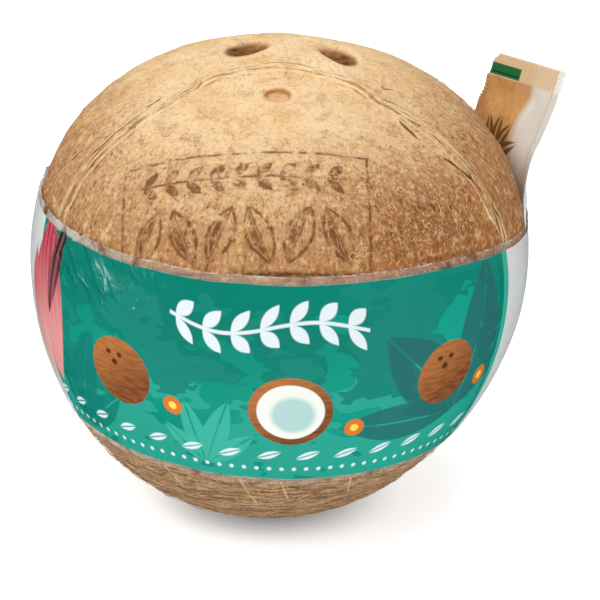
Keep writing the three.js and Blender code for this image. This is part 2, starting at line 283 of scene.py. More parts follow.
def bell(value):
    return np.exp(-(value ** 2))


def wrap_angle(angle):
    return np.arctan2(np.sin(angle), np.cos(angle))


def unit(vector):
    return vector / np.linalg.norm(vector, axis=-1, keepdims=True)


def direction_at(azimuth, latitude):
    level = np.cos(latitude)
    return np.stack([level * np.cos(azimuth), level * np.sin(azimuth), np.sin(latitude)], axis=-1)


def lattice_noise(x, y, z, seed):
    """Smooth noise from -1 to 1, with lumps about one unit across."""
    points = np.stack(np.broadcast_arrays(x, y, z), axis=-1).astype(float)
    cell = np.floor(points).astype(np.int64)
    part = points - cell
    blend = part * part * (3 - 2 * part)
    total = np.zeros(points.shape[:-1])
    for corner in itertools.product((0, 1), repeat=3):
        key = cell + np.array(corner)
        mixed = key[..., 0] * 374761393 + key[..., 1] * 668265263 + key[..., 2] * 2147483647 + seed * 974711
        mixed = (mixed ^ (mixed >> 13)) * 1274126177 & 0x7FFFFFFF
        mixed = (mixed ^ (mixed >> 15)) * 1911520717 & 0x7FFFFFFF
        weight = np.prod(np.where(np.array(corner) == 1, blend, 1 - blend), axis=-1)
        total += weight * (mixed / 0x3FFFFFFF - 1)
    return total


# Numbers that vary over a surface: the same formulas take arrays of points or a material's node sockets

class Field:
    """A number at each place on a surface, held as an output socket of a material."""

    def __init__(self, painter, socket):
        self.painter = painter
        self.socket = socket

    def math(self, operation, *others, clamp=False):
        node = self.painter.node("ShaderNodeMath", operation=operation, use_clamp=clamp)
        for place, value in enumerate((self, *others)):
            self.painter.link(value, node.inputs[place])
        return Field(self.painter, node.outputs[0])

    def from_number(self, number, operation):
        node = self.painter.node("ShaderNodeMath", operation=operation)
        node.inputs[0].default_value = number
        self.painter.link(self, node.inputs[1])
        return Field(self.painter, node.outputs[0])

    def __add__(self, other):
        return self.math("ADD", other)

    def __sub__(self, other):
        return self.math("SUBTRACT", other)

    def __mul__(self, other):
        return self.math("MULTIPLY", other)

    def __truediv__(self, other):
        return self.math("DIVIDE", other)

    def __rsub__(self, number):
        return self.from_number(number, "SUBTRACT")

    def __pow__(self, other):
        return self.math("POWER", other)

    __radd__ = __add__
    __rmul__ = __mul__


def size_of(value):
    return value.math("ABSOLUTE") if isinstance(value, Field) else np.abs(value)


def larger(first, second):
    return first.math("MAXIMUM", second) if isinstance(first, Field) else np.maximum(first, second)


def smaller(first, second):
    return first.math("MINIMUM", second) if isinstance(first, Field) else np.minimum(first, second)


def wrapped(value, period):
    """The distance from the nearest multiple of a period."""
    if isinstance(value, Field):
        return value.math("WRAP", period / 2, -period / 2)
    return (value + period / 2) % period - period / 2


def sine(value):
    return value.math("SINE") if isinstance(value, Field) else np.sin(value)


def hypotenuse(first, second):
    total = first * first + second * second
    return total.math("SQRT") if isinstance(total, Field) else np.sqrt(total)


def nearest(distances):
    """The distance from the nearest of several shapes."""
    return functools.reduce(smaller, distances)


def scaled(place, share):
    return [part * share for part in place]


def ink(distance, softness):
    """1 where a signed distance is inside a shape, 0 outside, with a soft edge between."""
    if isinstance(distance, Field):
        return distance.math("MULTIPLY_ADD", -1 / softness, 0.5, clamp=True)
    return np.clip(0.5 - distance / softness, 0, 1)


def turned(x, y, angle):
    cosine, sine_of = math.cos(angle), math.sin(angle)
    return x * cosine + y * sine_of, y * cosine - x * sine_of


def leaf_distance(along, across, length, width):
    """Signed distance, in effect, from a pointed leaf that lies along its own axis."""
    bow = along * (2 / length)
    return size_of(across) - (width / 2) * (1 - bow * bow)


def gash_distance(east, north):
    """The gashes, on the flat map of the nut's top."""
    gashes = []
    for polar, azimuth, half_length, half_width, lean in GASHES:
        reach, angle = NUT_RADIUS * math.radians(polar), math.radians(azimuth)
        from_east, from_north = east - reach * math.cos(angle), north - reach * math.sin(angle)
        along, across = turned(from_east, from_north, angle + math.radians(lean))
        gashes.append(leaf_distance(along, across, 2 * half_length, 2 * half_width))
    return nearest(gashes)


def saw_distance(x, y, z):
    """The saw marks, from places that are measured from the nut's centre."""
    radius = hypotenuse(x, y)
    azimuth = y.math("ARCTAN2", x) if isinstance(y, Field) else np.arctan2(y, x)
    down = (x / radius) * (FILM_BOTTOM_SLOPE * NUT_RADIUS) + FILM_BOTTOM - z
    marks = []
    for degrees, run in SAW_MARKS:
        turn = wrapped(azimuth + (math.pi / 2 - math.radians(degrees)), 2 * math.pi)
        across = radius * turn - down * SAW_SLANT
        marks.append(larger(size_of(across) - SAW_HALF_WIDTH, size_of(down - run / 2) - run / 2))
    return nearest(marks)


def ornament_distance(u, v):
    """The burnt ornament: a thin frame, a sprig of small leaves and a row of large ones."""
    left = u - ORNAMENT_CENTRE[0]
    up = v - ORNAMENT_CENTRE[1]
    edge = larger(size_of(left) - ORNAMENT_HALF[0], size_of(up) - ORNAMENT_HALF[1])
    found = size_of(edge) - ORNAMENT_LINE
    for number in range(ORNAMENT_LEAVES):
        place = (number - (ORNAMENT_LEAVES - 1) / 2) * ORNAMENT_LEAF_PITCH
        lean = math.radians(90 + (22 if number % 2 else -22))
        along, across = turned(left - place, v - ORNAMENT_LEAF_HEIGHT, lean)
        leaf = leaf_distance(along, across, *ORNAMENT_LEAF)
        outline = size_of(leaf + ORNAMENT_LINE) - ORNAMENT_LINE * 1.3
        shaded_half = larger(leaf + 1.0, 0.35 - across)
        rib = larger(size_of(across) - ORNAMENT_LINE * 0.7, leaf)
        found = nearest([found, outline, shaded_half, rib])
    rise = v - ORNAMENT_SPRIG_HEIGHT
    step = wrapped(left, ORNAMENT_SPRIG_PITCH)
    along, across = turned(step, size_of(rise) - 1.9, math.radians(42))
    sprig = smaller(leaf_distance(along, across, *ORNAMENT_SPRIG_LEAF), size_of(rise) - ORNAMENT_LINE)
    sprig = larger(sprig, size_of(left) - ORNAMENT_SPRIG_HALF)
    return smaller(found, sprig)


# Materials

def linear(red, green, blue):
    """An sRGB colour, 0 to 255, as the renderer's linear colour."""
    shares = [channel / 255 for channel in (red, green, blue)]
    return (*(s / 12.92 if s <= 0.04045 else ((s + 0.055) / 1.055) ** 2.4 for s in shares), 1.0)


class Painter:
    """Makes one material's nodes."""

    def __init__(self, name):
        self.material = bpy.data.materials.new(name)
        self.material.use_nodes = True
        self.tree = self.material.node_tree
        self.shader = self.tree.nodes["Principled BSDF"]

    def node(self, kind, **settings):
        made = self.tree.nodes.new(kind)
        for name, value in settings.items():
            setattr(made, name, value)
        return made

    def link(self, value, socket):
        if isinstance(value, Field):
            self.tree.links.new(value.socket, socket)
        elif isinstance(value, bpy.types.NodeSocket):
            self.tree.links.new(value, socket)
        else:
            socket.default_value = linear(*value) if isinstance(value, tuple) else value

    def split(self, socket):
        parts = self.node("ShaderNodeSeparateXYZ")
        self.tree.links.new(socket, parts.inputs[0])
        return [Field(self, output) for output in parts.outputs]

    def attribute(self, name):
        return self.split(self.node("ShaderNodeAttribute", attribute_name=name).outputs["Vector"])

    def place(self):
        """Millimetres from the nut's centre."""
        object_place = self.node("ShaderNodeTexCoord").outputs["Object"]
        return [part * (1 / MM) - float(centre) for part, centre in zip(self.split(object_place), NUT_CENTRE)]

    def vector(self, x, y, z):
        joined = self.node("ShaderNodeCombineXYZ")
        for value, socket in zip((x, y, z), joined.inputs):
            self.link(value, socket)
        return joined.outputs[0]

    def texture(self, kind, place, output, **settings):
        made = self.node(kind)
        self.tree.links.new(self.vector(*place), made.inputs["Vector"])
        for name, value in settings.items():
            made.inputs[name].default_value = value
        return Field(self, made.outputs[output])

    def noise(self, x, y, z, detail=2.0, roughness=0.5):
        settings = {"Scale": 1.0, "Detail": detail, "Roughness": roughness}
        return self.texture("ShaderNodeTexNoise", (x, y, z), 0, **settings)

    def cells(self, x, y, z):
        return self.texture("ShaderNodeTexVoronoi", (x, y, z), "Distance", Scale=1.0)

    def layers(self, colour, *coats):
        """A colour under coats of share and sRGB colour, the last one on top."""
        for share, tone in coats:
            colour = self.mix(share, colour, tone)
        return colour

    def ramp(self, value, low, high):
        """0 below low and 1 above high, smooth between; high may be the smaller one."""
        made = self.node("ShaderNodeMapRange", interpolation_type="SMOOTHSTEP")
        self.link(value, made.inputs["Value"])
        ends = (low, high, 0.0, 1.0) if low < high else (high, low, 1.0, 0.0)
        for socket, end in zip(("From Min", "From Max", "To Min", "To Max"), ends):
            made.inputs[socket].default_value = end
        return Field(self, made.outputs[0])

    def mix(self, share, first, second):
        made = self.node("ShaderNodeMix", data_type="RGBA")
        for value, place in ((share, 0), (first, 6), (second, 7)):
            self.link(value, made.inputs[place])
        return made.outputs[2]

    def finish(self, colour, roughness, relief=None, depth_mm=0.1, strength=1.0, alpha=None, specular=0.5):
        self.link(colour, self.shader.inputs["Base Color"])
        self.link(roughness, self.shader.inputs["Roughness"])
        self.shader.inputs["Specular IOR Level"].default_value = specular
        if alpha is not None:
            self.link(alpha, self.shader.inputs["Alpha"])
        if relief is not None:
            bump = self.node("ShaderNodeBump")
            bump.inputs["Distance"].default_value = depth_mm * MM
            bump.inputs["Strength"].default_value = strength
            self.link(relief, bump.inputs["Height"])
            self.link(bump.outputs[0], self.shader.inputs["Normal"])
        return self.material


def crack_lines(p, across, ridge, strand, arc):
    """The cracks along the ridges, all in one, and a painted highlight beside each."""
    cracks, edges = [], []
    arch_width = p.ramp(arc, 30, 18) * 0.12
    for number, (offset, half_width, closed) in enumerate(RIDGE_LINES):
        sway = p.noise(arc * 0.08 + 13 * number, strand * 1.6, 0, 3) * 2.6 - 1.3
        gap = across - offset - sway
        broken = p.noise(arc * 0.14 + 9 * number, strand * 1.3, 4, 3)
        opening = p.ramp(broken, closed, closed + 0.14)
        cracks.append(ink(size_of(gap) - arch_width - half_width, 0.24) * opening)
        edges.append(ink(size_of(gap - 0.5) - 0.2, 0.4) * ridge)
    return functools.reduce(larger, cracks) * ridge, edges


def burnt_ornament(p, place):
    """How burnt and how scorched the shell is at the ornament, which is worn in places."""
    x, y, z = place
    u = x.math("ARCTAN2", hypotenuse(y, z)) * NUT_RADIUS
    v = z.math("ARCTAN2", y * -1) * NUT_RADIUS
    wobble = (p.noise(*scaled(place, 0.8), 2) - 0.5) * 0.7
    front = p.ramp(y, 0, -8)
    drawn = ornament_distance(u + wobble, v + wobble)
    worn = p.ramp(p.noise(x * 0.34 + 3, y * 0.34, z * 0.34, 4, 0.65), 0.36, 0.58)
    return ink(drawn, 0.36) * (worn * 0.85 + 0.1) * front, ink(drawn - 0.5, 2.6) * worn * front


def shell_material():
    p = Painter("shell")
    place = x, y, z = p.place()
    cosine, sine_of, arc = p.attribute("grain")
    dark_and_shade, hairy, under = p.attribute("marks")
    east, north, amber = p.attribute("map")
    across, ridge, strand = p.attribute("ridge")
    side = p.ramp(sine_of, -0.55, 0.0)

    broad = p.noise(*scaled(place, 0.03), 3)
    mottle = p.noise(*scaled(place, 0.3), 4, 0.62)
    grain = p.noise(cosine * 80, sine_of * 80, arc * 0.25, 4, 0.65)
    fine = p.noise(cosine * 190, sine_of * 190, arc * 0.8, 2)
    speck = p.noise(*scaled(place, 1.05), 4, 0.6)
    dash = p.ramp(p.cells(cosine * 30, sine_of * 30, arc * 0.26), 0.22, 0.12)
    dash = dash * p.ramp(mottle, 0.42, 0.58)
    pore = p.ramp(p.cells(cosine * 62, sine_of * 62, arc * 0.6), 0.22, 0.12)
    lower = p.ramp(z, 55, 36)
    pore = pore * p.ramp(speck, 0.4, 0.56) * (lower * 0.8 + 0.2)
    dash = dash * (lower * 0.8 + 0.2)
    patch = p.ramp(p.noise(x * 0.14 + 7, y * 0.14, z * 0.14, 2), 0.58, 0.66)

    worn_pale = p.noise(x * 0.09 + 4, y * 0.09, z * 0.09, 3)
    upper = 1.0 - lower
    right_shade = p.ramp(x + (broad - 0.5) * 60, 0, 46) * p.ramp(z, 54, 26)
    left_shade = p.ramp(x, -8, -50) * p.ramp(z, 52, 34)
    colour = p.layers(
        p.mix(p.ramp(z, 12, 57), (162, 108, 60), (226, 194, 149)),
        (right_shade * 0.62, (154, 88, 36)),
        (left_shade * 0.3, (150, 102, 58)),
        (side * p.ramp(z, 56, 40) * 0.35, (162, 104, 54)),
        (patch * 0.3, (212, 172, 104)),
        (p.ramp(worn_pale, 0.44, 0.62) * upper * 0.4, (238, 214, 176)),
        (p.ramp(worn_pale, 0.46, 0.34) * upper * 0.35, (204, 156, 100)),
        (p.ramp(mottle, 0.5, 0.66) * (lower * 0.25 + 0.25), (152, 102, 58)),
        (p.ramp(mottle, 0.46, 0.32) * 0.45, (226, 194, 148)),
        (p.ramp(grain, 0.5, 0.68) * (side * 0.4 + lower * 0.2 + 0.12), (128, 80, 42)),
        (p.ramp(grain, 0.46, 0.3) * 0.4, (226, 190, 142)),
        (p.ramp(fine, 0.54, 0.68) * (lower * 0.3 + 0.1), (122, 72, 32)),
        (p.ramp(speck, 0.53, 0.66) * (lower * 0.42 + 0.1), (128, 78, 36)),
        (p.ramp(speck, 0.45, 0.34) * 0.4, (230, 200, 156)),
        (hairy * p.ramp(speck, 0.42, 0.58) * 0.6, (132, 74, 36)),
        (larger(dash, pore) * 0.6, (106, 60, 24)),
    )

    # Fibrous husk below the film, with its saw marks, and the eyes' amber
    streaks = p.noise(x * 0.18, y * 0.18, z * 1.6, 4, 0.65)
    husk = p.layers(
        p.mix(p.ramp(streaks, 0.35, 0.62), (112, 80, 54), (176, 138, 102)),
        (p.ramp(speck, 0.5, 0.64) * 0.4, (92, 62, 36)),
        (p.ramp(speck, 0.46, 0.34) * 0.4, (204, 164, 120)),
    )
    sawn = ink(saw_distance(x, y, z) + (speck - 0.5) * 0.4, 0.3)
    colour = p.layers(colour, (under, husk), (sawn * 0.7, (214, 176, 130)), (amber, (182, 116, 52)))

    # Cracks along the ridges with a painted highlight beside each, gashes with a painted highlight round them, and
    # the burnt ornament
    cracks, edges = crack_lines(p, across, ridge, strand, arc)
    gash = gash_distance(east, north) + (speck - 0.5) * 0.5
    burn, scorch = burnt_ornament(p, place)
    colour = p.layers(
        colour,
        # Painted highlights beside the cracks
        *((edge * 0.65, (248, 216, 168)) for edge in edges),
        # A pale ring round each gash is a painted highlight
        (ink(gash - 0.4, 0.7) * 0.4, (232, 196, 146)),
        (cracks * 0.7, p.mix(p.ramp(arc, 16, 34), (184, 116, 44), (104, 56, 14))),
        (ink(gash, 0.3) * 0.88, (84, 42, 6)),
        (scorch * 0.3, (150, 98, 58)),
        (burn * 0.85, (100, 54, 26)),
        # The eyes' darkening, partly painted shade, and painted shade where the film stands off the shell
        (dark_and_shade, (54, 23, 3)),
    )

    relief = mottle * 0.7 + grain * 0.5 + fine * 0.2 + speck * 0.6 - dash * 1.1 - pore * 0.5
    relief = relief + under * streaks * 0.9 + hairy * fine * 0.6 - cracks * 1.2
    relief = relief + functools.reduce(larger, edges) * 0.8
    roughness = 0.62 + grain * 0.25
    return p.finish(colour, roughness, relief, depth_mm=0.3, strength=0.9, specular=0.12)


# The film's print: s runs round the film from its front, t up from its lower edge, and cell repeats s

def print_ground(p, s, t, cell):
    """Teal with torn patches of a lighter tone, and fronds of darker leaves."""
    torn = p.noise(s * 0.05, t * 0.085, 0, 3, 0.55)
    shift = p.noise(s * 0.02 + 5, t * 0.03, 0, 2)
    ground = p.mix(p.ramp(shift, 0.35, 0.65), (2, 128, 108), (6, 142, 120))
    ground = p.mix(p.ramp(cell, 10, 44) * 0.7, ground, (4, 156, 136))
    paler = torn - t * 0.004 + p.ramp(cell, 8, 40) * 0.1
    ground = p.mix(p.ramp(paler, 0.38, 0.385) * 0.65, ground, (44, 158, 138))
    ground = p.mix(p.ramp(torn + t * 0.006, 0.66, 0.665) * 0.7, ground, (4, 112, 98))
    for base, leaves, tone in (
        ((50, 15), ((50, 42, 0.3), (78, 38, 0.36), (134, 34, 0.44), (176, 34, 0.3)), (36, 100, 98)),
        ((-57, 3), ((38, 24, 0.3), (70, 32, 0.3), (102, 28, 0.3)), (10, 116, 104)),
        ((-16, 5), ((38, 16, 0.3), (70, 20, 0.3), (102, 18, 0.3), (134, 14, 0.3)), (58, 168, 148)),
    ):
        frond = []
        for degrees, length, stoutness in leaves:
            along, across = turned(cell - base[0], t - base[1], math.radians(degrees))
            leaf = leaf_distance(along - length / 2, across, length, length * stoutness)
            frond.append(larger(leaf, 0.22 - size_of(across)))
        ground = p.mix(ink(nearest(frond), 0.3) * 0.85, ground, tone)
    return ground


def print_garland(p, ground, t, cell):
    """A white garland with paired leaves above, and a border of dots and small leaves below."""
    stem = t - 42.5 - sine(cell * 0.16) * 1.8
    along, across = turned(wrapped(cell, 6.4) - 0.4, size_of(stem) - 2.5, math.radians(48))
    garland = smaller(leaf_distance(along, across, 6.2, 2.9), size_of(stem) - 0.42)
    garland = larger(garland, size_of(cell) - 22.4)
    dots = hypotenuse(wrapped(cell, 3.2), t - 5.0) - 0.55
    along, across = turned(wrapped(cell, 9.6), t - 9.4, math.radians(20))
    sprigs = larger(leaf_distance(along, across, 6.4, 2.1), 0.2 - size_of(across))
    border = smaller(dots, sprigs)
    return p.mix(ink(smaller(garland, border), 0.3), ground, (214, 222, 224))


def print_nuts(p, printed, s, t, cell):
    """Two whole nuts with three eyes beside a halved one with white flesh and pale water."""
    streak = p.noise(s * 0.25, t * 1.3, 0, 4, 0.65)
    husk = p.mix(p.ramp(streak, 0.35, 0.65), (112, 62, 32), (168, 102, 54))
    for middle, level, radius, halved in ((-37, 25, 8.8, False), (5, 22, 9.6, True), (44, 27, 8.6, False)):
        aside, above = cell - middle, t - level
        reach = hypotenuse(aside, above * 1.05)
        lit = p.mix(p.ramp(above - aside * 0.6, -9, 11), (96, 50, 26), (196, 122, 62))
        printed = p.mix(ink(reach - radius, 0.3), printed, p.mix(0.5, husk, lit))
        if halved:
            printed = p.mix(ink(reach - radius * 0.8, 0.3), printed, (228, 226, 216))
            inner = hypotenuse(aside - 0.5, above * 1.05 + 0.7)
            printed = p.mix(ink(inner - radius * 0.52, 1.4), printed, (168, 198, 192))
        else:
            pair = hypotenuse(size_of(aside + 1.2) - 1.7, above * 1.3 - 5.6) - 0.8
            eyes = smaller(pair, hypotenuse(aside + 1.2, above * 1.2 - 2.6) - 0.9)
            printed = p.mix(ink(eyes, 0.4) * 0.85, printed, (58, 28, 14))
        blossom = hypotenuse(aside - radius - 5.5, above + 5) - 2.4
        printed = p.mix(ink(blossom, 0.3), printed, (210, 112, 34))
        printed = p.mix(ink(blossom + 1.4, 0.3), printed, (236, 200, 92))
    return printed


def print_panels(p, printed, s, t):
    """Bare pale panels at the two ends of the front, and long coral petals over the left one."""
    left_panel = size_of(s + 96 + t * 0.14) - 29
    right_panel = size_of(s - 83 - t * 0.05) - 18
    printed = p.mix(ink(right_panel - 2.5, 0.4), printed, (58, 168, 146))
    panels = ink(smaller(right_panel, left_panel), 0.4)
    printed = p.mix(panels, printed, (240, 242, 238))
    petals = 0.0 * s
    for place, level, lean, length, width, tip, foot in (
        (-67, 33, -4, 42, 17, (176, 44, 70), (224, 146, 142)),
        (-74, 26, -10, 34, 10, (206, 92, 104), (232, 172, 164)),
        (-63, 42, 14, 26, 5.5, (52, 16, 28), (120, 50, 62)),
    ):
        along, across = turned(t - level, s - place, math.radians(lean))
        petal = ink(leaf_distance(along, across, length, width), 0.5)
        ribs = p.ramp(sine(across * 2.4 + along * 0.15), -0.6, 1.0) * 0.14
        tone = p.mix(p.ramp(along, -length * 0.3, length * 0.4), foot, tip)
        printed = p.mix(petal, printed, p.mix(ribs, tone, (236, 190, 182)))
        petals = larger(petals, petal)
    return printed, larger(panels - petals, 0.0)


def film_material():
    """Printed film with a clear margin along both edges, and a clear window over the straw's wrapper."""
    p = Painter("printed_film")
    x, y, _ = p.place()
    t, height, _ = p.attribute("band")
    s = x.math("ARCTAN2", y * -1) * PRINT_RADIUS
    cell = wrapped(s, 2 * math.pi * PRINT_RADIUS / PRINT_CELLS)
    printed = print_garland(p, print_ground(p, s, t, cell), t, cell)
    printed, bare = print_panels(p, print_nuts(p, printed, s, t, cell), s, t)
    inside = smaller(p.ramp(t, FILM_MARGIN_BOTTOM, FILM_MARGIN_BOTTOM + 0.3),
                     p.ramp(height - t, FILM_MARGIN_TOP, FILM_MARGIN_TOP + 0.3))
    window = ink(size_of(s - 124) - 15, 0.5)
    inside = inside * (1.0 - window)
    haze = p.noise(s * 0.2, t * 0.5, 0, 3)
    # Dark blotches on the clear margins are painted shadow under the film
    shadow_blotch = p.ramp(p.noise(s * 0.22 + 2, t * 0.2, 0, 3), 0.46, 0.7) * (1.0 - window)
    # A broken pale line along the film's cut edges is a painted highlight
    shining = p.ramp(p.noise(s * 0.25 + 9, 0, 0, 2), 0.42, 0.6)
    edge_highlight = smaller(p.ramp(t, 0.3, 0.15) + p.ramp(height - t, 0.35, 0.15), 1.0) * shining
    clear = p.mix(shadow_blotch, (226, 216, 206), (120, 90, 66))
    colour = p.mix(inside, clear, printed)
    # The film is painted whiter at the upper left, where it stands off the nut, and over the window, as painted
    # glare
    painted_glare = p.ramp(s, -26, -56) * 0.3 + window * 0.3
    alpha = larger(inside * (1.0 - bare * 0.4), edge_highlight * 0.35 + haze * 0.12 + shadow_blotch * 0.2 + painted_glare + 0.02)
    ripple = p.noise(s * 0.12, t * 0.3, 0, 3, 0.55)
    slack = p.ramp(size_of(s + 45), 24, 12) * p.ramp(height - t, 18, 6)
    fold = 1.0 - size_of(p.noise(s * 0.11 + t * 0.08, t * 0.07, 2, 2) * 2 - 1)
    ripple = ripple + slack * fold ** 8 * 5
    roughness = 0.12 + haze * 0.14
    return p.finish(colour, roughness, ripple, depth_mm=0.35, strength=0.5, alpha=alpha, specular=0.5)


def web_material(name, printed_side):
    """Wrapper web: kraft on the printed side with a stripe and a leaf motif, satin white elsewhere."""
    p = Painter(name)
    u, v, edge = p.attribute("sheet")
    fibre = p.noise(u * 0.9, v * 0.5, 0, 4, 0.6)
    cloud = p.noise(u * 0.12, v * 0.12, 0, 3)
    kraft = p.mix(p.ramp(fibre, 0.3, 0.7), (184, 132, 75), (202, 151, 92))
    kraft = p.mix(p.ramp(cloud, 0.4, 0.7) * 0.4, kraft, (176, 120, 64))
    satin = p.mix(p.ramp(cloud, 0.3, 0.7), (202, 195, 182), (221, 214, 201))
    # The satin is painted darker further down the wrapper, as painted shade
    satin = p.mix(p.ramp(v, 14, 34) * 0.6, satin, (176, 172, 154))
    if printed_side:
        division = u + 4.3 + (v - 8) * 0.12 + (cloud - 0.5) * 2.4
        colour = p.mix(ink(division, 2.2), kraft, satin)
        motif = []
        for number in range(5):
            along, across = turned(u - 0.6, v - 24, math.radians(212 + 29 * number))
            leaf = leaf_distance(along - 5.0, across, 10, 3.2)
            motif.append(larger(leaf, 0.28 - size_of(across)))
        fleck = p.cells(u * 0.7, v * 0.7, 0) - 0.16
        fleck = larger(fleck, hypotenuse(u + 0.5, v - 26) - 7)
        colour = p.mix(ink(nearest([*motif, fleck]), 0.35) * 0.85, colour, (74, 58, 26))
    else:
        colour = p.mix(ink(9 - u, 1.6), satin, kraft)
    seal = p.ramp(v + (cloud - 0.5) * 1.2, WRAPPER_PALE_SEAL + 0.5, WRAPPER_PALE_SEAL)
    colour = p.mix(seal * 0.85, colour, (238, 208, 164))
    if printed_side:
        tab = larger(size_of(u + 1.2) - 2.7, size_of(v - 7.2) - 1.7)
        colour = p.mix(ink(tab, 0.3) * 0.7, colour, (196, 146, 102))
        stripe = larger(size_of(v - 3.9) - 1.45, 1.6 - u)
        colour = p.mix(ink(stripe, 0.25), colour, (34, 116, 62))
        line = larger(size_of(v - 4.6) - 0.22, 1.6 - u)
        colour = p.mix(ink(line, 0.2), colour, (18, 70, 40))
    # Dark stripes on the crimped edge ribs are painted shade in their folds
    rib = p.ramp(sine(v * (2 * math.pi / EDGE_RIB_PITCH)), -0.2, 0.8)
    rib = rib * p.ramp(edge, 2.6, 1.8) * p.ramp(u, 0, 1)
    colour = p.mix(rib * (1.0 - seal) * 0.35, colour, (120, 80, 44))
    rim = p.ramp(edge, 2.4, 2.0) * p.ramp(u, 0, -1) * p.ramp(v, 30, 16)
    colour = p.mix(rim * 0.7, colour, (236, 230, 220))
    alpha = 1.0 - rim * 0.45 - seal * 0.2
    return p.finish(colour, 0.28 + fibre * 0.15, fibre + cloud, depth_mm=0.05, strength=0.5, alpha=alpha,
                    specular=0.5)


def straw_material():
    p = Painter("straw_paper")
    along, turn, _ = p.attribute("wind")
    wind = wrapped(along + turn * 2.2, 14)
    fibre = p.noise(along * 0.8, turn * 3, 0, 3)
    colour = p.mix(p.ramp(fibre, 0.3, 0.7), (214, 206, 188), (236, 230, 216))
    colour = p.mix(ink(size_of(wind) - 0.25, 0.3) * 0.5, colour, (176, 164, 142))
    return p.finish(colour, 0.55 + fibre * 0.2, fibre, depth_mm=0.06, strength=0.5)


def fibre_material():
    p = Painter("loose_fibre")
    place = p.place()
    tone = p.noise(*scaled(place, 0.25), 3)
    colour = p.mix(p.ramp(tone, 0.35, 0.65), (164, 116, 72), (218, 180, 132))
    return p.finish(colour, 0.55 + tone * 0.2, tone, depth_mm=0.03, strength=0.3)


def floor_material():
    p = Painter("floor")
    place = x, y, _ = p.place()
    cloud = p.noise(*scaled(place, 0.01), 2)
    p.shader.inputs["Emission Color"].default_value = (1, 1, 1, 1)
    # The floor glows less and is painted darker near the nut, as a painted shadow under it
    far = p.ramp(hypotenuse(x, y), *FLOOR_GLOW_REACH)
    p.link(far * (FLOOR_GLOW[1] - FLOOR_GLOW[0]) + FLOOR_GLOW[0], p.shader.inputs["Emission Strength"])
    pale = p.mix(cloud, (236, 246, 253), (239, 249, 255))
    shaded = p.ramp(hypotenuse(x, y), *FLOOR_SHADE_REACH)
    return p.finish(p.mix(shaded, (140, 150, 162), pale), 0.6 + cloud * 0.1)


# Meshes

def add_piece(name, points_mm, faces, material, attributes=None):
    mesh = bpy.data.meshes.new(name)
    mesh.from_pydata((np.asarray(points_mm) * MM).tolist(), [], faces)
    for key, values in (attributes or {}).items():
        layer = mesh.attributes.new(key, "FLOAT_VECTOR", "POINT")
        layer.data.foreach_set("vector", np.ascontiguousarray(values, dtype=np.float32).ravel())
    mesh.polygons.foreach_set("use_smooth", np.ones(len(mesh.polygons), dtype=bool))
    mesh.materials.append(material)
    mesh.update()
    piece = bpy.data.objects.new(name, mesh)
    bpy.context.scene.collection.objects.link(piece)
    return piece


def add_part(name, points_mm, faces, material, node=None, attributes=None):
    """A piece of the object, which rides on the body and may replace one of its solids."""
    piece = add_piece(name, points_mm, faces, material, attributes)
    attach(piece, BODY)
    if node:
        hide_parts(node)


def grid_faces(rows, columns, closed_rows=False, closed_columns=False, first=0):
    """Quads of a grid of rows by columns of points, numbered row by row."""
    faces = []
    for row in range(rows if closed_rows else rows - 1):
        low = first + row * columns
        high = first + ((row + 1) % rows) * columns
        for column in range(columns if closed_columns else columns - 1):
            beside = (column + 1) % columns
            faces.append((low + column, low + beside, high + beside, high + column))
    return faces


# Nut

def nut_form(polar, azimuth):
    belly = np.sin(polar)
    profile = 1 + NUT_WAIST * np.cos(2 * polar) + NUT_EGG * np.cos(3 * polar) + NUT_BLUNT * np.cos(4 * polar)
    lobes = 1 + NUT_LOBE * belly ** 2 * np.cos(3 * (azimuth + NUT_LOBE_TURN))
    fuller = NUT_BELLY * belly ** 3 + NUT_LEAN * np.sin(2 * polar)
    return NUT_RADIUS * profile * lobes + fuller * np.cos(azimuth)


def nut_angles(direction):
    """Angle from the nut's axis and azimuth about it, along a direction in the object's frame."""
    local = direction @ TILT
    return np.arccos(np.clip(local[..., 2], -1, 1)), np.arctan2(local[..., 1], local[..., 0])


def nut_form_along(direction):
    return nut_form(*nut_angles(direction))


def nut_radius_at(azimuth, height):
    """Horizontal distance from the nut's upright centre line to its form, and the cosine of its latitude."""
    latitude = np.zeros_like(height)
    for _ in range(LATITUDE_ROUNDS):
        reach = nut_form_along(direction_at(azimuth, latitude))
        latitude = np.arcsin(np.clip(height / reach, -1, 1))
    return reach * np.cos(latitude), np.cos(latitude)


def top_map(polar, azimuth):
    """Place on a flat map of the nut's top, with the nut's axis at the centre."""
    return NUT_RADIUS * polar * np.cos(azimuth), NUT_RADIUS * polar * np.sin(azimuth)


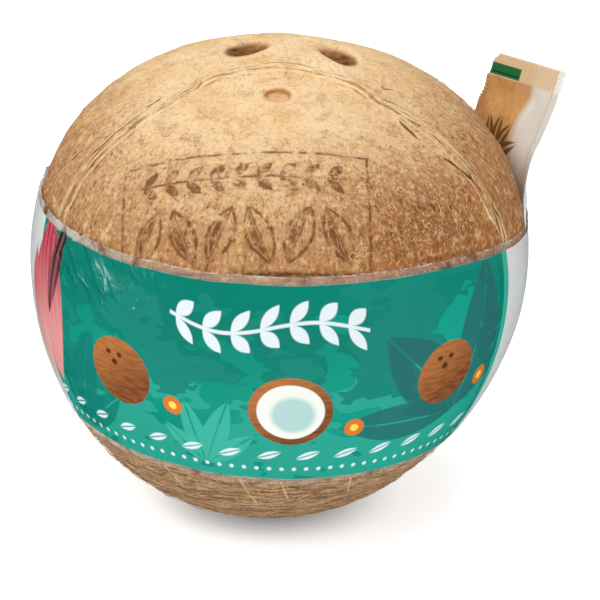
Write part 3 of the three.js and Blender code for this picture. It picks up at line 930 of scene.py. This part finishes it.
def ridge_relief(polar, azimuth):
    """Height of the three ridges, and for the nearest one the distance across it, its strength and strand."""
    fall = lerp(1, RIDGE_LOW_SHARE, smoothstep(polar, RIDGE_FADE, RIDGE_LOW))
    arc = NUT_RADIUS * polar
    east, north = top_map(polar, azimuth)
    fall_away = np.hypot(ARCH_SLOPE * (east - ARCH_MIDDLE), ARCH_ROUND)
    arch = (north - ARCH_TOP + fall_away) / math.hypot(1, ARCH_SLOPE)
    height = np.zeros_like(polar)
    closest = np.full(polar.shape + (3,), (1e3, 0, 0), dtype=float)
    for number, (ridge, start, side) in enumerate(zip(RIDGE_AZIMUTHS, RIDGE_STARTS, ARCH_SIDES)):
        rise = smoothstep(polar, start, start + RIDGE_RISE)
        across = NUT_RADIUS * np.sin(polar) * wrap_angle(azimuth - ridge)
        shown, strand = rise, BACK_STRAND
        if side:
            across = lerp(arch, side * across, smoothstep(polar, *ARCH_END))
            shown = (0.8 + 0.2 * rise) * (side * (east - ARCH_MIDDLE) > -0.01)
            strand = side * smoothstep(polar, *ARCH_END)
        across = across + RIDGE_WANDER * rise * lattice_noise(arc / 11, number * 7.3, 0.5, 1)
        height += rise * fall * RIDGE_HEIGHT * bell(across / RIDGE_HALF_WIDTH)
        for cord, place in enumerate(RIDGE_CORDS):
            sway = 0.5 * lattice_noise(arc / 6, number * 5.1, cord * 3.7, 2)
            fullness = smoothstep(lattice_noise(arc / 10, number * 3.3, cord * 8.1, 16), -0.6, 0.2)
            raised = rise * fall * fullness * bell((across - place * rise - sway) / RIDGE_CORD_HALF_WIDTH)
            height += RIDGE_CORD_HEIGHT * raised
        shown = shown * fall * smoothstep(np.abs(across), RIDGE_REACH, RIDGE_REACH - 2)
        closer = (np.abs(across) < np.abs(closest[..., 0])) & (shown > 0)
        found = np.stack([across, shown, np.broadcast_to(strand, across.shape)], -1)
        closest = np.where(closer[..., None], found, closest)
    return height, closest


def eye_relief(polar, azimuth):
    """Depth of the eyes, with how much they are darkened, partly painted shade in their recesses, and how amber the
    shallow one is.
    """
    height, dark_and_shade, amber = (np.zeros_like(polar) for _ in range(3))
    east, north = top_map(polar, azimuth)
    for eye in EYES:
        east_middle, north_middle = top_map(math.radians(eye["polar"]), math.radians(eye["azimuth"]))
        along, across = turned(east - east_middle, north - north_middle, math.radians(eye["turn"]))
        spread = (along / eye["length"]) ** 2 + (across / eye["width"]) ** 2
        pit = np.exp(-(spread ** eye["edge"]))
        height += EYE_RIM_HEIGHT * bell((np.sqrt(spread) - 1.35) / 0.3)
        if eye["depth"] < DEEP_EYE:
            height -= eye["depth"] * pit
            # The rim is amber, and is painted darker and more amber at its back edge as painted shade
            back_edge_shade = smoothstep(north - north_middle, -2.5, 2.5)
            rim = bell((np.sqrt(spread) - 0.88) / 0.14)
            amber = np.maximum(amber, 0.3 * pit + (0.25 + 0.65 * back_edge_shade) * rim)
            dark_and_shade = np.maximum(dark_and_shade, 0.3 * rim * back_edge_shade)
            continue
        # The floor slopes down away from the front, so the deepest part is under the far wall
        floor = np.clip(EYE_FLOOR_SLOPE * (along + eye["length"]), 0.3, eye["depth"])
        hole_along = (along - EYE_HOLE_ALONG) / EYE_HOLE_HALF_LENGTH
        hole_spread = hole_along ** 2 + (across / EYE_HOLE_HALF_WIDTH) ** 2
        hole = np.exp(-(hole_spread ** 1.6))
        height -= floor * pit + EYE_HOLE_DEPTH * hole
        # The walls are brown with streaks and are painted darker towards the hole's end and on the far wall as
        # painted shade; the hole is painted nearly black as painted shade
        walls = smoothstep(np.sqrt(spread), 1.08, 0.8)
        streaked = 0.5 + 0.5 * lattice_noise(along / 2.2, across / 0.9, 0.5, 17)
        shade = smoothstep(along, 5.5, -1.0)
        far_wall_shade = smoothstep(north - north_middle, -1.0, 3.5)
        amber = np.maximum(amber, walls * (0.6 + 0.35 * streaked))
        dark_and_shade = np.maximum(dark_and_shade, walls * (0.3 + 0.34 * shade + 0.28 * far_wall_shade + 0.4 * (streaked - 0.5)))
        dark_and_shade = np.maximum(dark_and_shade, 0.96 * smoothstep(np.sqrt(hole_spread), 1.3, 0.8))
    return height, dark_and_shade, amber


def nut_columns():
    """Azimuths of the columns, crowded at the ridges and towards the front."""
    dense = np.linspace(0, 2 * math.pi, COLUMN_SAMPLES)
    density = 1 + FRONT_CROWDING * bell(wrap_angle(dense - FRONT_AZIMUTH) / FRONT_CROWD_SPREAD)
    for ridge in RIDGE_AZIMUTHS:
        density += RIDGE_CROWDING * bell(wrap_angle(dense - ridge) / RIDGE_CROWD_SPREAD)
    total = np.concatenate([[0], np.cumsum((density[1:] + density[:-1]) / 2)])
    return np.interp(np.arange(NUT_COLUMNS) / NUT_COLUMNS * total[-1], total, dense)


def nut_rows():
    """Angles of the rows from the nut's axis, without the two poles."""
    spans = zip(NUT_ROW_ANGLES[:-1], NUT_ROW_ANGLES[1:], NUT_ROW_COUNTS)
    rows = np.concatenate([np.linspace(start, end, count, endpoint=False) for start, end, count in spans])
    return rows[1:]


def nut_surface(polar, azimuth):
    """Points of the finished shell, with what its material reads at them."""
    direction = direction_at(azimuth, math.pi / 2 - polar) @ TILT.T
    form = nut_form(polar, azimuth)
    smooth_point = direction * form[..., None]
    x, y, z = (smooth_point[..., axis] for axis in range(3))
    upright = np.arctan2(y, x)
    covered = smoothstep(z, film_bottom(upright) - 2, film_bottom(upright) + 1)
    covered = covered * smoothstep(z, film_top(upright) + 2, film_top(upright) - 1)
    under = smoothstep(z, film_bottom(upright) + 4, film_bottom(upright) - 1)

    ridges, nearest_ridge = ridge_relief(polar, azimuth)
    east, north = top_map(polar, azimuth)
    gashes = ink(gash_distance(east, north), 0.6)
    eyes, shell_dark_and_shade, amber = eye_relief(polar, azimuth)
    lumps = 0.22 * lattice_noise(x / 9, y / 9, z / 9, 5) + 0.12 * lattice_noise(x / 3.5, y / 3.5, z / 3.5, 6)
    fibres = 0.09 * lattice_noise(np.cos(azimuth) * 60, np.sin(azimuth) * 60, polar * 9, 7)
    husk = 0.35 * lattice_noise(x / 6, y / 6, z / 0.9, 8) * under
    u = np.arctan2(x, np.hypot(y, z)) * NUT_RADIUS
    v = np.arctan2(z, -y) * NUT_RADIUS
    burnt = ink(ornament_distance(u, v), 0.7) * (y < 0)
    sawn = ink(saw_distance(x, y, z), 0.8)
    relief = ridges + (lumps + fibres + husk) * (1 - 0.8 * covered)
    relief = relief - ORNAMENT_DEPTH * burnt - SAW_DEPTH * sawn - GASH_DEPTH * gashes
    reach = form + eyes + np.where(covered > 0.5, np.minimum(relief, 0.2), relief)
    points = direction * reach[..., None] + NUT_CENTRE
    points[..., 2] = np.maximum(points[..., 2], 0)
    hairy = bell(wrap_angle(upright - TUFT_AZIMUTH) / 0.3) * smoothstep(z, 44, 30)
    gap_shade = bell((z - film_top(upright) - GAP_SHADE_RISE) / GAP_SHADE_HALF_WIDTH)
    stand_off = [bell(wrap_angle(upright - place) / GAP_SHADE_SPREAD) for place in GAP_SHADES]
    gap_shade = gap_shade * np.max(stand_off, axis=0)
    # Painted shade where the film stands off the shell joins the eyes' darkening and their painted shade
    shell_dark_and_shade = np.maximum(shell_dark_and_shade, 0.7 * gap_shade)
    layers = {
        "marks": np.stack([shell_dark_and_shade, hairy, under], -1),
        "map": np.stack([east, north, amber], -1),
        "ridge": nearest_ridge,
    }
    return points, layers


def build_nut():
    rows, columns = nut_rows(), nut_columns()
    polar, azimuth = np.meshgrid(rows, columns, indexing="ij")
    points, layers = nut_surface(polar, azimuth)
    calm = smoothstep(polar, 0, GRAIN_FULL)
    grain = np.stack([calm * np.cos(azimuth), calm * np.sin(azimuth), polar * NUT_RADIUS], -1)
    poles_polar = np.array([0.0, math.pi])
    pole_points, pole_layers = nut_surface(poles_polar, np.zeros(2))
    pole_grain = np.stack([np.array([0.0, 1.0]), np.zeros(2), poles_polar * NUT_RADIUS], -1)

    def with_poles(values, pole_values):
        return np.concatenate([values.reshape(-1, 3), pole_values])

    # Rows run down from the pole, so the grid's quads are turned to face outwards
    faces = [face[::-1] for face in grid_faces(len(rows), NUT_COLUMNS, closed_columns=True)]
    top, bottom = points[..., 0].size, points[..., 0].size + 1
    last = (len(rows) - 1) * NUT_COLUMNS
    for column in range(NUT_COLUMNS):
        beside = (column + 1) % NUT_COLUMNS
        faces.append((top, column, beside))
        faces.append((bottom, last + beside, last + column))
    attributes = {key: with_poles(values, pole_layers[key]) for key, values in layers.items()}
    attributes["grain"] = with_poles(grain, pole_grain)
    points = with_poles(points, pole_points)
    add_part("coconut_shell", points, faces, shell_material(), "coconut", attributes)


# Straw wrapper

def smooth_line(knots, count):
    """Points evenly spaced along a smooth curve through the knots."""
    chords = np.linalg.norm(np.diff(knots, axis=0), axis=1)
    times = np.concatenate([[0], np.cumsum(chords)])
    slopes = np.diff(knots, axis=0) / chords[:, None]
    weighted = slopes[:-1] * chords[1:, None] + slopes[1:] * chords[:-1, None]
    inner = weighted / (chords[1:] + chords[:-1])[:, None]
    tangents = np.concatenate([slopes[:1], inner, slopes[-1:]])
    dense = np.linspace(0, times[-1], CURVE_SAMPLES)
    piece = np.clip(np.searchsorted(times, dense, side="right") - 1, 0, len(chords) - 1)
    span = chords[piece][:, None]
    share = ((dense - times[piece]) / chords[piece])[:, None]
    start, end = knots[piece], knots[piece + 1]
    curve = (
        (2 * share ** 3 - 3 * share ** 2 + 1) * start
        + (share ** 3 - 2 * share ** 2 + share) * span * tangents[piece]
        + (3 * share ** 2 - 2 * share ** 3) * end
        + (share ** 3 - share ** 2) * span * tangents[piece + 1]
    )
    lengths = np.concatenate([[0], np.cumsum(np.linalg.norm(np.diff(curve, axis=0), axis=1))])
    even = np.linspace(0, lengths[-1], count)
    return np.stack([np.interp(even, lengths, curve[:, axis]) for axis in range(3)], -1), lengths[-1]


def wrapper_line():
    """Middle line of the wrapper, from the nut's centre: up the nut, round a bend and straight out."""
    outward = direction_at(WRAPPER_AZIMUTH, 0.0)
    along = np.array([-outward[1], outward[0], 0])
    up = np.array([0, 0, 1.0])

    def on_nut(latitude, standoff):
        direction = direction_at(WRAPPER_AZIMUTH, latitude)
        return direction * (nut_form_along(direction) + standoff)

    knots = []
    for latitude in np.linspace(WRAPPER_LOW_LATITUDE, WRAPPER_HIGH_LATITUDE, WRAPPER_LINE_STEPS + 1):
        fullness = smoothstep(latitude, WRAPPER_LOW_LATITUDE, WRAPPER_FULL_LATITUDE)
        standoff = lerp(WRAPPER_FLAT_STANDOFF - 0.7, WRAPPER_STANDOFF - WRAPPER_TUCK, fullness)
        knots.append(on_nut(latitude, standoff))
    bend_centre = on_nut(WRAPPER_HIGH_LATITUDE, WRAPPER_STANDOFF + WRAPPER_BEND_RADIUS)
    for step in range(1, WRAPPER_BEND_STEPS + 1):
        lean = lerp(-WRAPPER_HIGH_LATITUDE, WRAPPER_LEAN, step / WRAPPER_BEND_STEPS)
        inward = up * math.sin(lean) - outward * math.cos(lean)
        tuck = WRAPPER_TUCK * (1 - step / (WRAPPER_BEND_STEPS + 1))
        knots.append(bend_centre + inward * WRAPPER_BEND_RADIUS - outward * tuck)
    rise = outward * math.sin(WRAPPER_LEAN) + up * math.cos(WRAPPER_LEAN)
    rise = rise * math.cos(WRAPPER_SIDE_LEAN) + along * math.sin(WRAPPER_SIDE_LEAN)
    # The bend ends at the upper part's lean, so its last direction also places that part's foot
    foot = bend_centre + inward * WRAPPER_BEND_RADIUS
    knots.append(foot + rise * WRAPPER_UPPER_LENGTH / 2)
    knots.append(foot + rise * WRAPPER_UPPER_LENGTH)
    return smooth_line(np.array(knots), LINE_SAMPLES)


LINE_POINTS, LINE_LENGTH = wrapper_line()


def wrapper_frame(share):
    """Place on the wrapper's middle line, with the directions across its width and out of its outer face."""
    steps = np.linspace(0, 1, len(LINE_POINTS))
    slopes = unit(np.gradient(LINE_POINTS, axis=0))
    centre, tangent = (
        np.stack([np.interp(share, steps, values[:, axis]) for axis in range(3)], -1)
        for values in (LINE_POINTS, slopes)
    )
    tangent = unit(tangent)
    level = np.array([-math.sin(WRAPPER_AZIMUTH), math.cos(WRAPPER_AZIMUTH), 0])
    across = unit(level - tangent * (tangent @ level)[..., None])
    twist = (WRAPPER_TWIST * smoothstep(share, WRAPPER_TWIST_START, 1))[..., None]
    across = across * np.cos(twist) + np.cross(tangent, across) * np.sin(twist)
    return centre, across, np.cross(across, tangent)


def wrapper_puff(share, offset):
    to_end = np.minimum(share, 1 - share) * LINE_LENGTH
    ends = smoothstep(to_end, WRAPPER_END_SEAL, WRAPPER_END_SEAL + WRAPPER_END_TAPER)
    side = np.clip(np.abs(offset) / (WRAPPER_WIDTH / 2 - WRAPPER_SIDE_SEAL), 0, 1)
    return WRAPPER_PUFF * ends * (1 - side ** 3)


def wrapper_sag(share, offset):
    cling = 1 - smoothstep(share, WRAPPER_CLING_END, WRAPPER_FREE_START)
    return cling * (offset ** 2 / (2 * NUT_RADIUS) + wrapper_puff(share, 0) - wrapper_puff(share, offset))


def wrapper_creases(share, offset):
    """Crimped seals at the ends and sides, and soft creases where the wrapper bends."""
    to_end = np.minimum(share, 1 - share) * LINE_LENGTH
    to_side = WRAPPER_WIDTH / 2 - np.abs(offset)
    sealed = smoothstep(to_end, WRAPPER_PALE_SEAL + 0.4, WRAPPER_PALE_SEAL - 0.6)
    crimp = CRIMP_DEPTH * np.sin(2 * math.pi * offset / CRIMP_PITCH) * sealed
    ribs = EDGE_RIB_DEPTH * np.sin(2 * math.pi * share * LINE_LENGTH / EDGE_RIB_PITCH)
    ribs = ribs * smoothstep(to_side, 3, 2) * smoothstep(offset, 0, 1)
    free = smoothstep(share, 0.5, 0.7)
    folds = 0.5 * lattice_noise(offset / 5, share * LINE_LENGTH / 9, 1.5, 9) * smoothstep(to_end, 6, 11)
    return crimp + ribs * smoothstep(to_end, 6, 7) + folds * free


def wrapper_point(share, offset, standoff):
    centre, across, out = wrapper_frame(share)
    lift = standoff - wrapper_sag(share, offset)
    return centre + across * offset[..., None] + out * lift[..., None] + NUT_CENTRE


def web_offsets(share, columns):
    """Distances across the web: on the far side the seal is narrower, with a neck below it."""
    to_top = (1 - share) * LINE_LENGTH
    spread = np.broadcast_to(columns * WRAPPER_WIDTH, share.shape)
    neck = 1.3 * smoothstep(to_top, WRAPPER_PALE_SEAL + 0.6, WRAPPER_PALE_SEAL - 0.8)
    neck = neck + 0.8 * bell((to_top - 9) / 2.4) + 1.6 * smoothstep(to_top, 2.4, 0) ** 2
    return spread - np.where(spread > 0, neck * (2 * spread / WRAPPER_WIDTH) ** 4, 0)


def build_web(name, side, node, printed_side):
    rows = np.linspace(0, 1, WRAPPER_ROWS)
    columns = np.linspace(-0.5, 0.5, WRAPPER_COLUMNS)
    share, column = np.meshgrid(rows, columns, indexing="ij")
    offset = web_offsets(share, column)
    layers = []
    for layer in (1, 0):
        standoff = WRAPPER_SEAL_GAP / 2 + wrapper_puff(share, offset) + layer * WRAPPER_WEB
        layers.append(wrapper_point(share, offset, side * standoff + wrapper_creases(share, offset)))
    # Each row runs out along one face and back along the other, so the web is one closed band
    points = np.concatenate([layers[0], layers[1][:, ::-1]], axis=1)
    to_side = WRAPPER_WIDTH / 2 - np.abs(column * WRAPPER_WIDTH)
    sheet = np.stack([offset, (1 - share) * LINE_LENGTH, to_side], -1)
    sheet = np.concatenate([sheet, sheet[:, ::-1]], axis=1)
    around = points.shape[1]
    faces = grid_faces(WRAPPER_ROWS, around, closed_columns=True)
    for row in (0, WRAPPER_ROWS - 1):
        base = row * around
        for step in range(WRAPPER_COLUMNS - 1):
            end = (base + step, base + step + 1, base + around - 2 - step, base + around - 1 - step)
            faces.append(end[::-1] if row == 0 else end)
    # Out along the outer face and on up the web turns one way for one web and the other way for the other
    faces = faces if side < 0 else [face[::-1] for face in faces]
    material = web_material(name, printed_side)
    add_part(name, points.reshape(-1, 3), faces, material, node, {"sheet": sheet.reshape(-1, 3)})


def tube_grid(path, radius, sides):
    """Rings of points round a path."""
    tangent = unit(np.gradient(path, axis=0))
    normal = unit(np.cross(tangent, np.array([0.31, 0.52, 0.79])))
    other = np.cross(tangent, normal)
    angles = np.linspace(0, 2 * math.pi, sides, endpoint=False)
    radius = np.broadcast_to(np.asarray(radius, dtype=float), (len(path),))
    ring = np.cos(angles)[None, :, None] * normal[:, None] + np.sin(angles)[None, :, None] * other[:, None]
    return path[:, None] + ring * radius[:, None, None]


def build_straw():
    legs = []
    for leg, start, end in ((1, STRAW_LONG_LEG_END, STRAW_FOLD_AT), (-1, STRAW_FOLD_AT, STRAW_SHORT_LEG_END)):
        legs.append([(along, leg * STRAW_LEG_OFFSET) for along in np.linspace(start, end, STRAW_LEG_STEPS)])
    turns = math.pi * np.arange(1, STRAW_FOLD_STEPS) / STRAW_FOLD_STEPS
    fold = [(STRAW_FOLD_AT - STRAW_LEG_OFFSET * math.sin(a), STRAW_LEG_OFFSET * math.cos(a)) for a in turns]
    route = np.array(legs[0] + fold + legs[1])
    path = wrapper_point(route[:, 0] / LINE_LENGTH, route[:, 1], np.zeros(len(route)))
    walls = [tube_grid(path, radius, STRAW_SIDES) for radius in (STRAW_RADIUS, STRAW_RADIUS - STRAW_WALL)]
    # Out along the outer wall and back along the inner one, so that the ends close as rings
    points = np.concatenate([walls[0], walls[1][::-1]])
    length = np.concatenate([[0], np.cumsum(np.linalg.norm(np.diff(path, axis=0), axis=1))])
    along = np.broadcast_to(np.concatenate([length, length[::-1]])[:, None], points.shape[:2])
    turn = np.broadcast_to(np.arange(STRAW_SIDES) / STRAW_SIDES * 2 * math.pi, points.shape[:2])
    wind = np.stack([along, turn, np.zeros_like(along)], -1).reshape(-1, 3)
    faces = grid_faces(len(points), STRAW_SIDES, closed_rows=True, closed_columns=True)
    points = points.reshape(-1, 3)
    add_part("straw_tube", points, faces, straw_material(), "straw", {"wind": wind})


# Film sleeve

def film_top(azimuth):
    from_dip = wrap_angle(azimuth - FILM_DIP_AZIMUTH) / FILM_DIP_SPREAD
    return FILM_TOP + FILM_TOP_SLOPE * NUT_RADIUS * np.cos(azimuth) - FILM_DIP * bell(from_dip)


def film_bottom(azimuth):
    return FILM_BOTTOM + FILM_BOTTOM_SLOPE * NUT_RADIUS * np.cos(azimuth)


def film_reach(azimuth, height):
    """Inner radius of the film: on the nut, or on the straight line from the nut to the wrapper."""
    radius, slant = nut_radius_at(azimuth, height)
    on_nut = radius + FILM_GAP / slant
    reach = on_nut.copy()
    shares = np.linspace(0, 1, BRIDGE_SHARES)
    levels = np.linspace(-NUT_REACH, NUT_REACH, BRIDGE_LEVELS)
    for offset in np.linspace(-0.5, 0.5, BRIDGE_OFFSETS) * WRAPPER_WIDTH:
        offsets = np.full_like(shares, offset)
        cover = WRAPPER_SEAL_GAP / 2 + wrapper_puff(shares, offsets) + WRAPPER_WEB + WRAPPER_SLEEVE_GAP
        line = wrapper_point(shares, offsets, cover) - NUT_CENTRE
        far = np.hypot(line[:, 0], line[:, 1])
        near = np.abs(line[None, :, 2] - np.maximum(levels, line[0, 2])[:, None]) <= FILM_BRIDGE
        furthest = np.where(near, far[None, :], 0).max(axis=1)
        level = np.maximum(height, line[0, 2])
        fade = np.clip(1 - (level - height) / WRAPPER_END_TAPER, 0, 1)
        held = lerp(on_nut, np.maximum(np.interp(height, levels, furthest), on_nut), fade)
        place = np.interp(level, line[:, 2], np.arctan2(line[:, 1], line[:, 0]))
        spread = np.arccos(np.clip(on_nut / held, -1, 1))
        turn = np.abs(wrap_angle(azimuth - place))
        reach = np.where(turn < spread, np.maximum(reach, on_nut / np.cos(spread - turn)), reach)
    return reach, slant


def film_wrinkles(azimuth, below_top, above_bottom):
    """How far small folds lift the film: puckers at its two edges, and slack creases at the upper left."""
    arc = wrap_angle(azimuth + math.pi / 2) * NUT_RADIUS
    puckers = np.abs(lattice_noise(arc / 2.6, below_top / 9, 0.5, 12)) ** 1.5
    lift = 0.5 * puckers * np.exp(-below_top / 3.2) + 0.35 * puckers * np.exp(-above_bottom / 2.5)
    slack = bell((arc + 47) / 18) * smoothstep(below_top, 16, 1)
    crease = 1 - np.abs(lattice_noise((arc + below_top * 1.1) / 7, below_top / 16, 2.5, 13))
    lift += 0.9 * slack * crease ** 5
    lift += 0.12 * (1 + lattice_noise(arc / 8, below_top / 12, 4.5, 14))
    return lift


def build_film():
    columns = np.linspace(0, 2 * math.pi, FILM_COLUMNS, endpoint=False)
    rows = np.linspace(0, 1, FILM_ROWS)
    share, azimuth = np.meshgrid(rows, columns, indexing="ij")
    wave = 0.25 * lattice_noise(np.cos(azimuth) * 9, np.sin(azimuth) * 9, 0.5, 15)
    low, high = film_bottom(azimuth) + wave, film_top(azimuth) + wave
    height = lerp(low, high, share)
    reach, slant = film_reach(azimuth, height)
    reach = reach + film_wrinkles(azimuth, high - height, height - low) / slant
    layers = []
    for layer in (1, 0):
        radius = reach + layer * FILM_THICKNESS / slant
        layers.append(np.stack([radius * np.cos(azimuth), radius * np.sin(azimuth), height], -1) + NUT_CENTRE)
    # Up the outer face and down the inner one, so that the two edges close
    points = np.concatenate([layers[0], layers[1][::-1]])
    band = np.stack([height - low, high - low, np.zeros_like(height)], -1)
    band = np.concatenate([band, band[::-1]])
    faces = grid_faces(2 * FILM_ROWS, FILM_COLUMNS, closed_rows=True, closed_columns=True)
    attributes = {"band": band.reshape(-1, 3)}
    add_part("film_sleeve", points.reshape(-1, 3), faces, film_material(), "sleeve", attributes)


# Loose fibres

def fibre_path(azimuth, height, heading, length, lift, curl):
    """A curling line over the shell from a place on it, with both ends on the shell."""
    share = np.linspace(0, 1, FIBRE_STEPS)
    turn = heading + curl * (share - 0.5)
    sideways = np.cumsum(np.cos(turn)) * length / FIBRE_STEPS
    upward = np.cumsum(np.sin(turn)) * length / FIBRE_STEPS
    levels = np.clip(height + upward, -FIBRE_LIMIT, FIBRE_LIMIT)
    start_radius, _ = nut_radius_at(np.array([azimuth]), np.array([height]))
    bearings = azimuth + sideways / np.maximum(start_radius, 8)
    radius, _ = nut_radius_at(bearings, levels)
    points = np.stack([radius * np.cos(bearings), radius * np.sin(bearings), levels], -1)
    return points + unit(points) * (FIBRE_CLEAR + lift * np.sin(math.pi * share))[:, None] + NUT_CENTRE


def draw_fibre(place, level, heading, lengths, lifts, curl):
    """A fibre of a random length, lift and curl, drawn in that order."""
    return fibre_path(place, level, heading, rng.uniform(*lengths), rng.uniform(*lifts), rng.normal(0, curl))


def build_fibres():
    paths = []
    for _ in range(TUFT_FIBRES):
        place = TUFT_AZIMUTH + rng.normal(0, TUFT_SPREAD[0])
        level = TUFT_HEIGHT + abs(rng.normal(0, TUFT_SPREAD[1]))
        paths.append(draw_fibre(place, level, rng.uniform(0, FIBRE_HEADINGS), *TUFT_FORM))
    for _ in range(STRAY_FIBRES):
        place, level = rng.uniform(0, 2 * math.pi), rng.uniform(*STRAY_HEIGHTS)
        paths.append(draw_fibre(place, level, rng.uniform(0, FIBRE_HEADINGS), *STRAY_FORM))
    for _ in range(UNDER_FIBRES):
        place = rng.uniform(0, 2 * math.pi)
        level = float(film_bottom(np.array(place)) - UNDER_START - rng.uniform(0, 1) * UNDER_DEPTH)
        heading = rng.choice([0, math.pi]) + rng.normal(0, UNDER_LEAN)
        paths.append(draw_fibre(place, level, heading, *UNDER_FORM))
    points, faces = [], []
    taper = np.sin(math.pi * np.linspace(0.08, 0.92, FIBRE_STEPS)) ** 0.5
    for number, path in enumerate(paths):
        first = number * FIBRE_STEPS * FIBRE_SIDES
        points.append(tube_grid(path, FIBRE_RADIUS * taper, FIBRE_SIDES).reshape(-1, 3))
        faces += grid_faces(FIBRE_STEPS, FIBRE_SIDES, closed_columns=True, first=first)
        end = first + (FIBRE_STEPS - 1) * FIBRE_SIDES
        faces.append(tuple(range(first + FIBRE_SIDES - 1, first - 1, -1)))
        faces.append(tuple(range(end, end + FIBRE_SIDES)))
    points = np.concatenate(points)
    points[:, 2] = np.maximum(points[:, 2], 0.1)
    add_part("shell_fibres", points, faces, fibre_material())


# Floor, light and camera

def build_floor():
    signs = ((-1, -1), (1, -1), (1, 1), (-1, 1))
    corners = [(east * FLOOR_HALF, north * FLOOR_HALF, -FLOOR_DROP) for east, north in signs]
    floor = add_piece("floor", corners, [(0, 1, 2, 3)], floor_material())
    floor.visible_glossy = False


def add_light(name, place_mm, size_mm, watts):
    lamp = bpy.data.lights.new(name, "AREA")
    lamp.shape = "RECTANGLE"
    lamp.size, lamp.size_y = (side * MM for side in size_mm)
    lamp.energy = watts
    light = bpy.data.objects.new(name, lamp)
    light.visible_glossy = name in SHINING_LAMPS
    light.location = Vector(place_mm) * MM
    aim = Vector(NUT_CENTRE * MM) - light.location
    light.rotation_euler = aim.to_track_quat("-Z", "Y").to_euler()
    bpy.context.scene.collection.objects.link(light)


def build_light():
    world = bpy.data.worlds.new("studio")
    world.use_nodes = True
    background = world.node_tree.nodes["Background"]
    background.inputs["Color"].default_value = (1, 1, 1, 1)
    background.inputs["Strength"].default_value = WORLD_STRENGTH
    world.cycles_visibility.glossy = False
    bpy.context.scene.world = world
    bpy.context.scene.view_settings.view_transform = "Standard"
    for name, (place, size, watts) in LAMPS.items():
        add_light(name, place, size, watts)


def build_camera():
    back = np.array([0, -math.cos(CAMERA_ELEVATION), math.sin(CAMERA_ELEVATION)])
    picture_up = np.array([0, math.sin(CAMERA_ELEVATION), math.cos(CAMERA_ELEVATION)])
    target = NUT_CENTRE + CAMERA_RIGHT * np.array([1, 0, 0]) - CAMERA_DOWN * picture_up
    lens = bpy.data.cameras.new("camera")
    lens.lens = CAMERA_LENS
    lens.sensor_width = CAMERA_SENSOR
    lens.clip_end = CAMERA_REACH * MM
    camera = bpy.data.objects.new("camera", lens)
    camera.location = Vector((target + back * CAMERA_DISTANCE) * MM)
    camera.rotation_euler = Vector(-back).to_track_quat("-Z", "Y").to_euler()
    bpy.context.scene.collection.objects.link(camera)
    bpy.context.scene.camera = camera


build_camera()
build_light()
build_floor()
build_nut()
build_film()
build_web("wrapper_kraft_web", -1, "wrapper_front", True)
build_web("wrapper_white_web", 1, "wrapper_back", False)
build_straw()
build_fibres()
